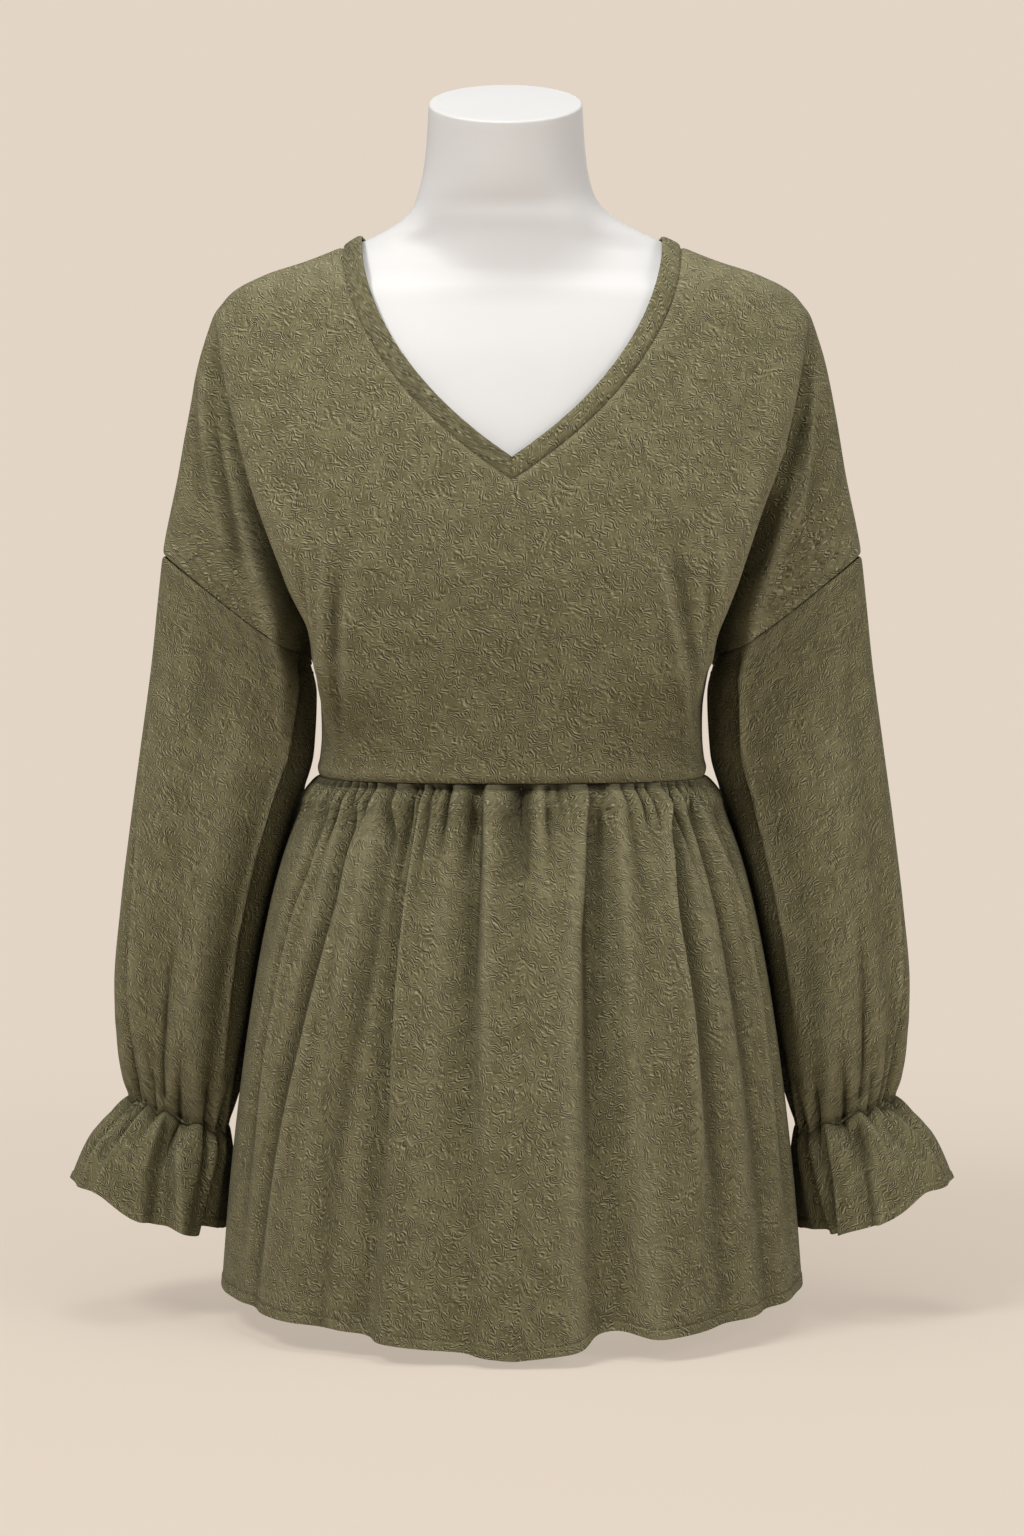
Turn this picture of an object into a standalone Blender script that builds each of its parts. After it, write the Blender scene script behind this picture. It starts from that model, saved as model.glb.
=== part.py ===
"""A V-neck babydoll top with dropped shoulders, gathered skirt and ruffled cuffs, on a limbless dress form.

Metres, +Z up. The wearer's front faces -Y and the wearer's left is +X. The form stands on z = 0.
The garment is draped as one skin, and each cut piece is then parted from it along its seams.
"""

import math
from bisect import bisect_right
from collections import namedtuple

import bmesh
import bpy
from mathutils import Vector

# Cloth and seams
CLOTH = 0.0018
SEAM_GAP = 0.0003
WELD = 0.00002
KEY_DIGITS = 5

# Heights of the garment's landmarks
WAIST_HEIGHT = 0.3725
UNDERARM_HEIGHT = 0.453
V_HEIGHT = 0.572
SHOULDER_TIP_HEIGHT = 0.680
ARMHOLE_TOP_HEIGHT = 0.5215
NECK_POINT = (0.114, 0.729)

# How round a level section is: 2 is an ellipse, and more is squarer
WAIST_ROUNDNESS = 2.6
CHEST_ROUNDNESS = 2.4
HEM_ROUNDNESS = 2.15
# Past this share of its half width a section counts as closed
EDGE_SHARE = 0.9995
# Below the underarm the section changes over this height from the chest's form to the waist's
SIDE_BLEND = 0.040

# The crease between body and arm: its reach on the body's side and on the arm's
CREASE_BODY_REACH = 0.009
CREASE_ARM_REACH = 0.021
# The cloth changes from the body's depth to the arm's over this width
ARM_BLEND_START = 0.020
ARM_BLEND_WIDTH = 0.050

Width = namedtuple("Width", "height half_width")
SIDE_SEAM = [
    Width(0.3725, 0.1320),
    Width(0.4000, 0.1292),
    Width(0.4180, 0.1298),
    Width(0.4400, 0.1336),
    Width(0.4530, 0.1385),
]
SHOULDER_LINE = [
    Width(0.4530, 0.2443),
    Width(0.5215, 0.2370),
    Width(0.5770, 0.2258),
    Width(0.6110, 0.2200),
    Width(0.6450, 0.2133),
    Width(0.6600, 0.2098),
    Width(0.6800, 0.2030),
    Width(0.6900, 0.1965),
    Width(0.6995, 0.1885),
    Width(0.7045, 0.1780),
    Width(0.7105, 0.1645),
    Width(0.7185, 0.1400),
    Width(0.7290, 0.1140),
    Width(0.7360, 0.1010),
    Width(0.7500, 0.0740),
]
CREASE_LINE = [
    Width(0.4530, 0.1385),
    Width(0.4720, 0.1400),
    Width(0.5040, 0.1500),
    Width(0.5680, 0.1735),
    Width(0.6400, 0.1935),
    Width(0.6800, 0.2030),
]

# How far the cloth stands out of the body's middle plane, and how much of that the crease takes away
Depth = namedtuple("Depth", "height body arm crease")
FRONT = [
    Depth(0.3725, 0.1000, 0.0640, 1.00),
    Depth(0.4200, 0.1070, 0.0640, 1.00),
    Depth(0.4530, 0.1125, 0.0650, 1.00),
    Depth(0.4800, 0.1165, 0.0660, 0.92),
    Depth(0.5100, 0.1180, 0.0660, 0.76),
    Depth(0.5450, 0.1145, 0.0650, 0.56),
    Depth(0.5720, 0.1090, 0.0645, 0.42),
    Depth(0.6000, 0.1015, 0.0640, 0.28),
    Depth(0.6400, 0.0860, 0.0640, 0.10),
    Depth(0.6800, 0.0670, 0.0610, 0.00),
    Depth(0.7000, 0.0570, 0.0560, 0.00),
    Depth(0.7290, 0.0420, 0.0420, 0.00),
    Depth(0.7500, 0.0330, 0.0330, 0.00),
]
BACK = [
    Depth(0.3725, 0.0820, 0.0560, 1.00),
    Depth(0.4200, 0.0860, 0.0560, 1.00),
    Depth(0.4530, 0.0900, 0.0570, 1.00),
    Depth(0.4800, 0.0925, 0.0590, 0.84),
    Depth(0.5200, 0.0950, 0.0600, 0.55),
    Depth(0.5600, 0.0955, 0.0600, 0.28),
    Depth(0.6000, 0.0930, 0.0600, 0.10),
    Depth(0.6400, 0.0850, 0.0620, 0.00),
    Depth(0.6800, 0.0690, 0.0610, 0.00),
    Depth(0.7000, 0.0590, 0.0570, 0.00),
    Depth(0.7290, 0.0430, 0.0430, 0.00),
    Depth(0.7500, 0.0340, 0.0340, 0.00),
]

# Neckline and the band's free edge, as cubic curves in the front view, from the middle to the neck point
FRONT_NECKLINE = ((0.0, V_HEIGHT), (0.063, 0.613), (0.111, 0.669), NECK_POINT)
FRONT_BAND_EDGE = ((0.0, 0.5865), (0.050, 0.6195), (0.0985, 0.672), (0.101, 0.736))
BACK_NECKLINE = ((0.0, 0.706), (0.045, 0.706), (0.097, 0.711), NECK_POINT)
BACK_BAND_EDGE = ((0.0, 0.720), (0.040, 0.720), (0.088, 0.724), (0.101, 0.736))
# The band's edge moves this far along the band, which crosses its seam at a slant
NECK_SEAM_SHIFT = 1.4 * SEAM_GAP

# The armhole seam's front view, from the underarm to its top
ARMHOLE = ((0.1385, UNDERARM_HEIGHT), (0.168, 0.466), (0.200, 0.496), (0.237, ARMHOLE_TOP_HEIGHT))
# Where the shoulder line turns from the panel's top edge to its outer edge
ARM_CORNER_HEIGHT = 0.600

# Grid lines of a half panel: from the middle outwards, and from the waist up
BODY_COLUMNS = (0, 0.20, 0.40, 0.57, 0.71, 0.82, 0.90, 0.955, 0.985, 1)
BODY_ROWS = (0, 0.087, 0.173, 0.26, 0.34, 0.42, 0.50, 0.60, 0.70, 0.79, 0.87, 0.93, 0.97, 0.992, 1)
UNDERARM_ROW = 3
FRONT_NECK_ROW = 6
BACK_NECK_ROW = 9
ARM_COLUMNS = 9
FRONT_TAG = 0
BACK_TAG = 1

# Of two gathers' depths, the least share that a valley sinks, and that a ridge rises
LEAST_VALLEY = 0.6
LEAST_RIDGE = 0.9

# Sleeve and ruffle as rings, each hung between an outer and an inner point
Ring = namedtuple("Ring", "along outer_x outer_z inner_x inner_z front back gather")
SLEEVE = [
    Ring(0.00, 0.2370, 0.5215, 0.1385, 0.4530, 0.060, 0.056, 0.0),
    Ring(0.08, 0.2402, 0.4930, 0.1345, 0.4270, 0.057, 0.055, 0.0),
    Ring(0.20, 0.2448, 0.4500, 0.1350, 0.3880, 0.054, 0.054, 0.0),
    Ring(0.35, 0.2522, 0.3960, 0.1495, 0.3450, 0.052, 0.053, 0.0),
    Ring(0.50, 0.2600, 0.3400, 0.1640, 0.2960, 0.051, 0.052, 0.0003),
    Ring(0.65, 0.2672, 0.2830, 0.1748, 0.2470, 0.050, 0.051, 0.0008),
    Ring(0.80, 0.2720, 0.2270, 0.1828, 0.1950, 0.048, 0.049, 0.0018),
    Ring(0.90, 0.2712, 0.1900, 0.1878, 0.1600, 0.044, 0.045, 0.0028),
    Ring(0.965, 0.2688, 0.1660, 0.1903, 0.1380, 0.037, 0.038, 0.0032),
    Ring(1.00, 0.2655, 0.1520, 0.1925, 0.1265, 0.029, 0.030, 0.0022),
]
RUFFLE = [
    Ring(0.00, 0.2655, 0.1520, 0.1925, 0.1265, 0.029, 0.030, 0.0022),
    Ring(0.12, 0.2735, 0.1440, 0.1925, 0.1185, 0.036, 0.036, 0.0030),
    Ring(0.50, 0.2912, 0.1220, 0.1965, 0.0905, 0.046, 0.045, 0.0022),
    Ring(1.00, 0.3030, 0.0960, 0.2025, 0.0560, 0.053, 0.050, 0.0012),
]
SLEEVE_CENTRE_Y = 0.004
SLEEVE_ROWS = (0, 0.05, 0.12, 0.22, 0.34, 0.48, 0.62, 0.75, 0.86, 0.93, 0.97, 1)
RUFFLE_ROWS = (0, 0.12, 0.38, 0.68, 1)
# The armhole's own form is gone from the sleeve at this share of its length, and its wall's tilt at the other
ARMHOLE_FADE = 0.42
ARMHOLE_TURN = 0.14
# At the underarm point the sleeve's wall lies on the arm's side, and the seam's gap runs down the sleeve
UNDERARM_WAY = Vector((-1, 0, 0.15))
UNDERARM_GAP = 2 * SEAM_GAP * Vector((0.3, 0, -0.954))
CUFF_GATHERS = 2 * ARM_COLUMNS
# Every second gather of the ruffle runs on to its hem and grows
HEM_WAVE_DEPTH = 0.0024

# Skirt, as level rings below the waist seam
Tier = namedtuple("Tier", "along half_width front back gather")
SKIRT = [
    Tier(0.000, 0.1320, 0.1000, 0.0820, 0.0011),
    Tier(0.015, 0.1350, 0.1035, 0.0860, 0.0024),
    Tier(0.045, 0.1412, 0.1090, 0.0925, 0.0031),
    Tier(0.120, 0.1518, 0.1190, 0.1040, 0.0026),
    Tier(0.250, 0.1645, 0.1330, 0.1175, 0.0014),
    Tier(0.430, 0.1765, 0.1470, 0.1300, 0.0006),
    Tier(0.620, 0.1860, 0.1570, 0.1390, 0.0002),
    Tier(0.810, 0.1935, 0.1645, 0.1460, 0.0000),
    Tier(1.000, 0.1990, 0.1690, 0.1500, 0.0000),
]
HEM_SIDE_HEIGHT = 0.0245
HEM_MIDDLE_HEIGHT = 0.0050
HEM_CURVE = 0.9
SKIRT_GATHERS = 26
SKIRT_ROWS = (0, 0.016, 0.048, 0.10, 0.18, 0.30, 0.45, 0.62, 0.80, 0.92, 1)

# Long folds of the skirt: where they leave the waist and reach the hem, as turns from the left side seam
Fold = namedtuple("Fold", "waist hem reach depth lift")
FRONT_FOLDS = [
    Fold(0.235, 0.262, 0.035, 0.0040, 0.000),
    Fold(0.375, 0.408, 0.036, 0.0200, 0.006),
    Fold(0.548, 0.562, 0.030, 0.0050, 0.000),
    Fold(0.665, 0.668, 0.024, 0.0105, 0.004),
    Fold(0.815, 0.770, 0.032, 0.0040, 0.000),
    Fold(0.470, 0.490, 0.060, -0.0040, 0.000),
]
BACK_FOLDS = [
    Fold(0.200, 0.225, 0.035, 0.0060, 0.001),
    Fold(0.350, 0.340, 0.030, 0.0130, 0.004),
    Fold(0.520, 0.505, 0.030, 0.0070, 0.001),
    Fold(0.640, 0.665, 0.034, 0.0150, 0.004),
    Fold(0.800, 0.785, 0.032, 0.0050, 0.000),
]
FOLD_START = 0.10
FOLD_AT_WAIST = 0.25
# The folds fade out over this share of a half turn before a side seam
SIDE_SEAM_REACH = 0.06

# Dress form: level rings up to the neck, which leans forward to a slanted cap
Body = namedtuple("Body", "height half_width front back middle tilt roundness")
FORM = [
    Body(0.0000, 0.1400, 0.0600, 0.0900, 0.000, 0, 2.2),
    Body(0.0600, 0.1560, 0.0860, 0.1010, 0.000, 0, 2.2),
    Body(0.1300, 0.1650, 0.1010, 0.1080, 0.000, 0, 2.2),
    Body(0.2000, 0.1560, 0.0990, 0.1020, 0.000, 0, 2.2),
    Body(0.2700, 0.1340, 0.0900, 0.0840, 0.000, 0, 2.2),
    Body(0.3300, 0.1180, 0.0840, 0.0700, 0.000, 0, 2.2),
    Body(0.3725, 0.1185, 0.0880, 0.0690, 0.000, 0, 2.3),
    Body(0.4200, 0.1220, 0.0980, 0.0740, 0.000, 0, 2.4),
    Body(0.4600, 0.1245, 0.1070, 0.0780, 0.000, 0, 2.4),
    Body(0.5000, 0.1270, 0.1120, 0.0810, 0.000, 0, 2.4),
    Body(0.5400, 0.1310, 0.1090, 0.0840, 0.000, 0, 2.4),
    Body(0.5720, 0.1380, 0.1035, 0.0850, 0.000, 0, 2.4),
    Body(0.6000, 0.1490, 0.0965, 0.0835, 0.000, 0, 2.4),
    Body(0.6300, 0.1670, 0.0860, 0.0790, 0.000, 0, 2.4),
    Body(0.6550, 0.1830, 0.0760, 0.0730, 0.000, 0, 2.4),
    Body(0.6750, 0.1905, 0.0660, 0.0660, 0.000, 0, 2.4),
    Body(0.6900, 0.1890, 0.0580, 0.0600, 0.000, 0, 2.4),
    Body(0.6990, 0.1810, 0.0530, 0.0550, 0.000, 0, 2.4),
    Body(0.7350, 0.0940, 0.0370, 0.0370, 0.000, 0, 2.3),
    Body(0.7468, 0.0725, 0.0460, 0.0460, -0.001, 1, 2.1),
    Body(0.7595, 0.0610, 0.0485, 0.0480, -0.003, 3, 2.0),
    Body(0.7830, 0.0547, 0.0505, 0.0500, -0.006, 9, 2.0),
    Body(0.8050, 0.0525, 0.0510, 0.0510, -0.009, 15, 2.0),
    Body(0.8240, 0.0515, 0.0515, 0.0515, -0.012, 20, 2.0),
]
FORM_SEGMENTS = 36
# Its shoulders follow the garment's shoulder line, this far under it
FORM_SHOULDER_HEIGHTS = (0.7060, 0.7120, 0.7180, 0.7240, 0.7300)
SHOULDER_DROP = 0.0030
SHOULDER_INSET = 0.0060
SHOULDER_ROUNDNESS = 2.0
# Between these heights a round neck grows out of the flat shoulders
NECK_ROOT_LOW = 0.695
NECK_ROOT_HIGH = 0.740
NECK_ROOT_WIDTH = 0.058
NECK_ROOT_FRONT = 0.0485
NECK_ROOT_BACK = 0.0440

# Colours, roughness
OLIVE = (0.125, 0.122, 0.067, 1)
WHITE = (0.82, 0.81, 0.79, 1)
CLOTH_ROUGHNESS = 0.85
FORM_ROUGHNESS = 0.45
SHARP_ANGLE = math.radians(50)


class Smooth:
    """A smooth curve through one column of a table, with no overshoot between its rows."""

    def __init__(self, table, column):
        self.keys = [row[0] for row in table]
        self.values = [getattr(row, column) for row in table]
        ends = list(zip(self.keys, self.values))
        steps = [(b[1] - a[1]) / (b[0] - a[0]) for a, b in zip(ends, ends[1:])]
        middle = [
            0.0 if a * b <= 0 else 2 * a * b / (a + b) for a, b in zip(steps, steps[1:])
        ]
        self.slopes = [steps[0], *middle, steps[-1]]

    def __call__(self, at):
        at = min(max(at, self.keys[0]), self.keys[-1])
        i = min(bisect_right(self.keys, at), len(self.keys) - 1) - 1
        span = self.keys[i + 1] - self.keys[i]
        t = (at - self.keys[i]) / span
        rise = 3 * t**2 - 2 * t**3
        return (
            self.values[i] * (1 - rise)
            + self.values[i + 1] * rise
            + self.slopes[i] * span * t * (1 - t) ** 2
            - self.slopes[i + 1] * span * t**2 * (1 - t)
        )


def curves(table):
    """All of a table's columns as smooth curves of its first one."""
    names = table[0]._fields[1:]
    made = namedtuple("Curves", names)
    return made(*(Smooth(table, name) for name in names))


side_seam = Smooth(SIDE_SEAM, "half_width")
shoulder_line = Smooth(SHOULDER_LINE, "half_width")
crease_line = Smooth(CREASE_LINE, "half_width")
front_of = curves(FRONT)
back_of = curves(BACK)
sleeve_ring = curves(SLEEVE)
ruffle_ring = curves(RUFFLE)
skirt_ring = curves(SKIRT)
form_ring = curves(FORM)


def ease(t):
    """0 to 1, slow at both ends."""
    t = min(max(t, 0.0), 1.0)
    return t * t * (3 - 2 * t)


def mix(a, b, t):
    return a + (b - a) * t


def bell(offset, reach):
    return math.exp(-((offset / reach) ** 2))


def cubic(points, t):
    """A point of a cubic Bezier curve in the front view."""
    shares = ((1 - t) ** 3, 3 * t * (1 - t) ** 2, 3 * t**2 * (1 - t), t**3)
    return tuple(sum(k * p[axis] for k, p in zip(shares, points)) for axis in (0, 1))


def rounded(share, roundness):
    """How much of its depth a level section keeps at a share of its half width."""
    if share > EDGE_SHARE:
        return 0.0
    return (1 - share**roundness) ** (1 / roundness)


def chest_depth(x, z, face):
    """Depth of the cloth over chest, crease and arm."""
    crease_x = crease_line(z)
    arm_share = ease((x - crease_x + ARM_BLEND_START) / ARM_BLEND_WIDTH)
    depth = mix(face.body(z), face.arm(z), arm_share)
    reach = CREASE_BODY_REACH if x < crease_x else CREASE_ARM_REACH
    kept = 1 - face.crease(z) * bell(x - crease_x, reach)
    return depth * rounded(x / shoulder_line(z), CHEST_ROUNDNESS) * kept


def waist_depth(x, z, face):
    return face.body(z) * rounded(x / side_seam(z), WAIST_ROUNDNESS)


def bodice_depth(x, z, face):
    """How far the bodice stands out of the middle plane at a place of the front view."""
    if z >= UNDERARM_HEIGHT:
        return chest_depth(x, z, face)
    side = side_seam(z)
    near_arm = ease(1 - (UNDERARM_HEIGHT - z) / SIDE_BLEND)
    chest = face.body(z) * rounded(x / shoulder_line(z), CHEST_ROUNDNESS)
    chest *= 1 - bell(side - x, CREASE_BODY_REACH)
    return mix(waist_depth(x, z, face), chest, near_arm)


def fine_line(curve, start, end, steps=240):
    """A line of the front view, from one height to another."""
    heights = [mix(start, end, i / steps) for i in range(steps + 1)]
    return [(curve(z), z) for z in heights]


def fine_cubic(points, steps=240):
    return [cubic(points, i / steps) for i in range(steps + 1)]


def spread(line, shares):
    """The points at these shares of a line's length."""
    run = [0.0]
    for a, b in zip(line, line[1:]):
        run.append(run[-1] + math.dist(a, b))
    spots = []
    for share in shares:
        i = min(bisect_right(run, share * run[-1]), len(run) - 1)
        part = (share * run[-1] - run[i - 1]) / (run[i] - run[i - 1])
        spots.append(tuple(mix(a, b, part) for a, b in zip(line[i - 1], line[i])))
    return spots


def two_part_edge(lower, upper, rows, corner):
    """The points of a panel's side whose corner lies on a grid row."""
    turn = rows[corner]
    below = spread(lower, [share / turn for share in rows[: corner + 1]])
    above = spread(upper, [(share - turn) / (1 - turn) for share in rows[corner + 1 :]])
    return below + above


def panel_grid(left, right, bottom, top, rows, columns):
    """A grid of the front view spread between a panel's four edges, from the bottom row up."""
    grid = []
    for i, up in enumerate(rows):
        row = []
        for j, across in enumerate(columns):
            point = []
            for axis in (0, 1):
                sides = mix(left[i][axis], right[i][axis], across)
                ends = mix(bottom[j][axis], top[j][axis], up)
                low = mix(bottom[0][axis], bottom[-1][axis], across)
                high = mix(top[0][axis], top[-1][axis], across)
                point.append(sides + ends - mix(low, high, up))
            row.append(tuple(point))
        grid.append(row)
    return grid


def body_grid(neckline, neck_row):
    """The half panel from the middle to the side seam and the crease."""
    middle = [(0.0, WAIST_HEIGHT), neckline[0]]
    waist = [(0.0, WAIST_HEIGHT), (side_seam(WAIST_HEIGHT), WAIST_HEIGHT)]
    side = fine_line(side_seam, WAIST_HEIGHT, UNDERARM_HEIGHT)
    crease = fine_line(crease_line, UNDERARM_HEIGHT, SHOULDER_TIP_HEIGHT)
    return panel_grid(
        two_part_edge(middle, fine_cubic(neckline), BODY_ROWS, neck_row),
        two_part_edge(side, crease, BODY_ROWS, UNDERARM_ROW),
        spread(waist, BODY_COLUMNS),
        spread(fine_line(shoulder_line, NECK_POINT[1], SHOULDER_TIP_HEIGHT), BODY_COLUMNS),
        BODY_ROWS,
        BODY_COLUMNS,
    )


def arm_grid():
    """The half panel from the crease over the arm to the armhole seam."""
    underarm = BODY_ROWS[UNDERARM_ROW]
    rows = [(share - underarm) / (1 - underarm) for share in BODY_ROWS[UNDERARM_ROW:]]
    columns = [(1 - math.cos(math.pi * j / ARM_COLUMNS)) / 2 for j in range(ARM_COLUMNS + 1)]
    return panel_grid(
        spread(fine_line(crease_line, UNDERARM_HEIGHT, SHOULDER_TIP_HEIGHT), rows),
        spread(fine_line(shoulder_line, ARMHOLE_TOP_HEIGHT, ARM_CORNER_HEIGHT), rows),
        spread(fine_cubic(ARMHOLE), columns),
        spread(fine_line(shoulder_line, SHOULDER_TIP_HEIGHT, ARM_CORNER_HEIGHT), columns),
        rows,
        columns,
    )


def new_cloth():
    """An empty sheet whose points each keep their place on the cloth's inside."""
    cloth = bmesh.new()
    cloth.verts.layers.float_vector.new("inside")
    return cloth


def lay(cloth, rows, closed=False, tag=0):
    """Adds a layer of faces through rows of (outside, inside) points."""
    inside = cloth.verts.layers.float_vector["inside"]
    laid = []
    for row in rows:
        laid.append([cloth.verts.new(outside) for outside, _ in row])
        for vert, (_, place) in zip(laid[-1], row):
            vert[inside] = place
    for low, high in zip(laid, laid[1:]):
        for j in range(len(low) if closed else len(low) - 1):
            k = (j + 1) % len(low)
            cloth.faces.new((low[j], low[k], high[k], high[j])).material_index = tag


def thicken(cloth):
    """Closes a layer into a wall that reaches from its outside to its inside."""
    inside = cloth.verts.layers.float_vector["inside"]
    grown = bmesh.ops.extrude_face_region(cloth, geom=cloth.faces[:])
    for piece in grown["geom"]:
        if isinstance(piece, bmesh.types.BMVert):
            piece.co = piece[inside]
    for face in cloth.faces:
        face.material_index = 0
    bmesh.ops.recalc_face_normals(cloth, faces=cloth.faces)


def spot(place):
    """A key that finds a point of the skin again, whatever its side."""
    return tuple(round(value, KEY_DIGITS) for value in (abs(place.x), place.y, place.z))


def in_plane(normal, *flat_axes):
    """The normal without the parts that would tilt a seam out of its plane."""
    flat = normal.copy()
    for axis in flat_axes:
        flat[axis] = 0
    return flat.normalized()


def bodice_skin():
    """Front and back as one skin of no thickness, and the way outwards at each of its points."""
    skin = new_cloth()
    panels = (
        (FRONT_TAG, -1, front_of, body_grid(FRONT_NECKLINE, FRONT_NECK_ROW)),
        (BACK_TAG, 1, back_of, body_grid(BACK_NECKLINE, BACK_NECK_ROW)),
        (FRONT_TAG, -1, front_of, arm_grid()),
        (BACK_TAG, 1, back_of, arm_grid()),
    )
    for tag, way, face, grid in panels:
        for side in (1, -1):
            rows = [
                [Vector((side * x, way * bodice_depth(x, z, face), z)) for x, z in row]
                for row in grid
            ]
            lay(skin, [[(place, place) for place in row] for row in rows], tag=tag)
    bmesh.ops.remove_doubles(skin, verts=skin.verts, dist=WELD)
    bmesh.ops.recalc_face_normals(skin, faces=skin.faces)
    skin.normal_update()
    if min(skin.verts, key=lambda vert: vert.co.y).normal.y > 0:
        bmesh.ops.reverse_faces(skin, faces=skin.faces)
        skin.normal_update()
    outwards = {}
    inside = skin.verts.layers.float_vector["inside"]
    for vert in skin.verts:
        way = vert.normal.copy()
        if abs(vert.co.y) < WELD:
            way = in_plane(way, 1)
        if vert.co.z < WAIST_HEIGHT + WELD:
            way = in_plane(way, 2)
        underarm = Vector((math.copysign(ARMHOLE[0][0], vert.co.x), 0, UNDERARM_HEIGHT))
        if (vert.co - underarm).length < WELD:
            way = Vector((0, 0, -1))
        vert[inside] = vert.co - CLOTH * way
        if vert.co.x > -WELD:
            outwards[spot(vert.co)] = way
    return skin, outwards


def bodice_piece(skin, tag):
    """The front or the back of the skin as a wall, half a seam's gap short of the other one."""
    cloth = skin.copy()
    other = [face for face in cloth.faces if face.material_index != tag]
    bmesh.ops.delete(cloth, geom=other, context="FACES")
    inside = cloth.verts.layers.float_vector["inside"]
    shift = Vector((0, (-1 if tag == FRONT_TAG else 1) * SEAM_GAP / 2, 0))
    for vert in cloth.verts:
        if abs(vert.co.y) < SEAM_GAP / 2:
            vert.co += shift
            vert[inside] = Vector(vert[inside]) + shift
    thicken(cloth)
    return cloth


def neck_edges():
    """Matching points of the neck seam and the band's free edge, once round from the V, on the +X side."""
    front_seam = spread(fine_cubic(FRONT_NECKLINE), neck_shares(FRONT_NECK_ROW))
    front_free = spread(fine_cubic(FRONT_BAND_EDGE), neck_shares(FRONT_NECK_ROW))
    back_seam = spread(fine_cubic(BACK_NECKLINE), neck_shares(BACK_NECK_ROW))
    back_free = spread(fine_cubic(BACK_BAND_EDGE), neck_shares(BACK_NECK_ROW))
    edges = []
    for way, face, seam, free in (
        (-1, front_of, front_seam, front_free),
        (1, back_of, back_seam[-2::-1], back_free[-2::-1]),
    ):
        for (x, z), (free_x, free_z) in zip(seam, free):
            middle_x, middle_z = (x + free_x) / 2, (z + free_z) / 2
            edges.append(
                [
                    Vector((at, way * bodice_depth(at, height, face), height))
                    for at, height in ((x, z), (middle_x, middle_z), (free_x, free_z))
                ]
            )
    return edges


def neck_shares(neck_row):
    """Where the grid rows of a body panel meet its neckline, as shares of its length."""
    turn = BODY_ROWS[neck_row]
    return [(share - turn) / (1 - turn) for share in BODY_ROWS[neck_row:]]


def neck_band(outwards):
    """The binding round the neck: one closed ring, parted from the bodice by the seam's gap."""
    edges = neck_edges()
    ring = edges + [
        [Vector((-place.x, place.y, place.z)) for place in spots] for spots in edges[-2:0:-1]
    ]
    cloth = new_cloth()
    lay(cloth, [[(spots[i], spots[i]) for spots in ring] for i in range(3)], closed=True)
    bmesh.ops.recalc_face_normals(cloth, faces=cloth.faces)
    cloth.normal_update()
    if min(cloth.verts, key=lambda vert: vert.co.y).normal.y > 0:
        bmesh.ops.reverse_faces(cloth, faces=cloth.faces)
        cloth.normal_update()
    inside = cloth.verts.layers.float_vector["inside"]
    verts = list(cloth.verts)
    count = len(ring)
    for k, spots in enumerate(ring):
        seam, middle, free = (verts[k + i * count] for i in range(3))
        way = outwards[spot(seam.co)].copy()
        way.x = math.copysign(way.x, seam.co.x) if abs(seam.co.x) > WELD else 0
        middle_way = middle.normal.copy()
        free_way = free.normal.copy()
        seam.co = seam.co + (spots[2] - spots[0]).normalized() * NECK_SEAM_SHIFT
        for vert, outward in ((seam, way), (middle, middle_way), (free, free_way)):
            vert[inside] = vert.co - CLOTH * outward
    thicken(cloth)
    return cloth


def armhole_ring(outwards):
    """The sleeve's top edge on the +X side: from the underarm over the front to the top and back, with its ways out."""
    places = []
    for way, face in ((-1, front_of), (1, back_of)):
        places.append([Vector((x, way * bodice_depth(x, z, face), z)) for x, z in arm_grid()[0]])
    ring = places[0] + places[1][-2:0:-1]
    ways = [outwards[spot(place)].copy() for place in ring]
    ways[0] = UNDERARM_WAY.normalized()
    starts = []
    for k, place in enumerate(ring):
        along_seam = ring[(k + 1) % len(ring)] - ring[k - 1]
        down = ways[k].cross(along_seam).normalized()
        gap = UNDERARM_GAP if k == 0 else math.copysign(SEAM_GAP, -down.z) * down
        starts.append(place + gap)
    fine_ring = []
    for k, start in enumerate(starts):
        after = (k + 1) % len(ring)
        fine_ring.append((start, ways[k]))
        fine_ring.append(((start + starts[after]) / 2, (ways[k] + ways[after]).normalized()))
    return fine_ring


def hung_point(ring, along, share, wave):
    """A point of a sleeve's or ruffle's ring and its way out; share 0 is at the inner edge, 0.5 at the outer."""
    angle = math.pi * (1 - 2 * share)
    outer = Vector((ring.outer_x(along), SLEEVE_CENTRE_Y, ring.outer_z(along)))
    inner = Vector((ring.inner_x(along), SLEEVE_CENTRE_Y, ring.inner_z(along)))
    depth = ring.front(along) if share < 0.5 else ring.back(along)
    spoke = (outer - inner) / 2 * math.cos(angle) + Vector((0, -depth * math.sin(angle), 0))
    way = spoke.normalized()
    return (outer + inner) / 2 + spoke - way * wave, way


def uneven(k, least):
    """A share between this least one and 1, which wanders from one gather to the next."""
    return mix(least, 1.0, (1 + math.sin(2.4 * k + 0.7 * math.sin(1.3 * k))) / 2)


def gather_drop(k, depth):
    """How far a column of a gathered ring lies under the highest ridges: every second column is a valley."""
    share = uneven(k, LEAST_VALLEY) if k % 2 else 1 - uneven(k, LEAST_RIDGE)
    return 2 * depth * share


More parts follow.
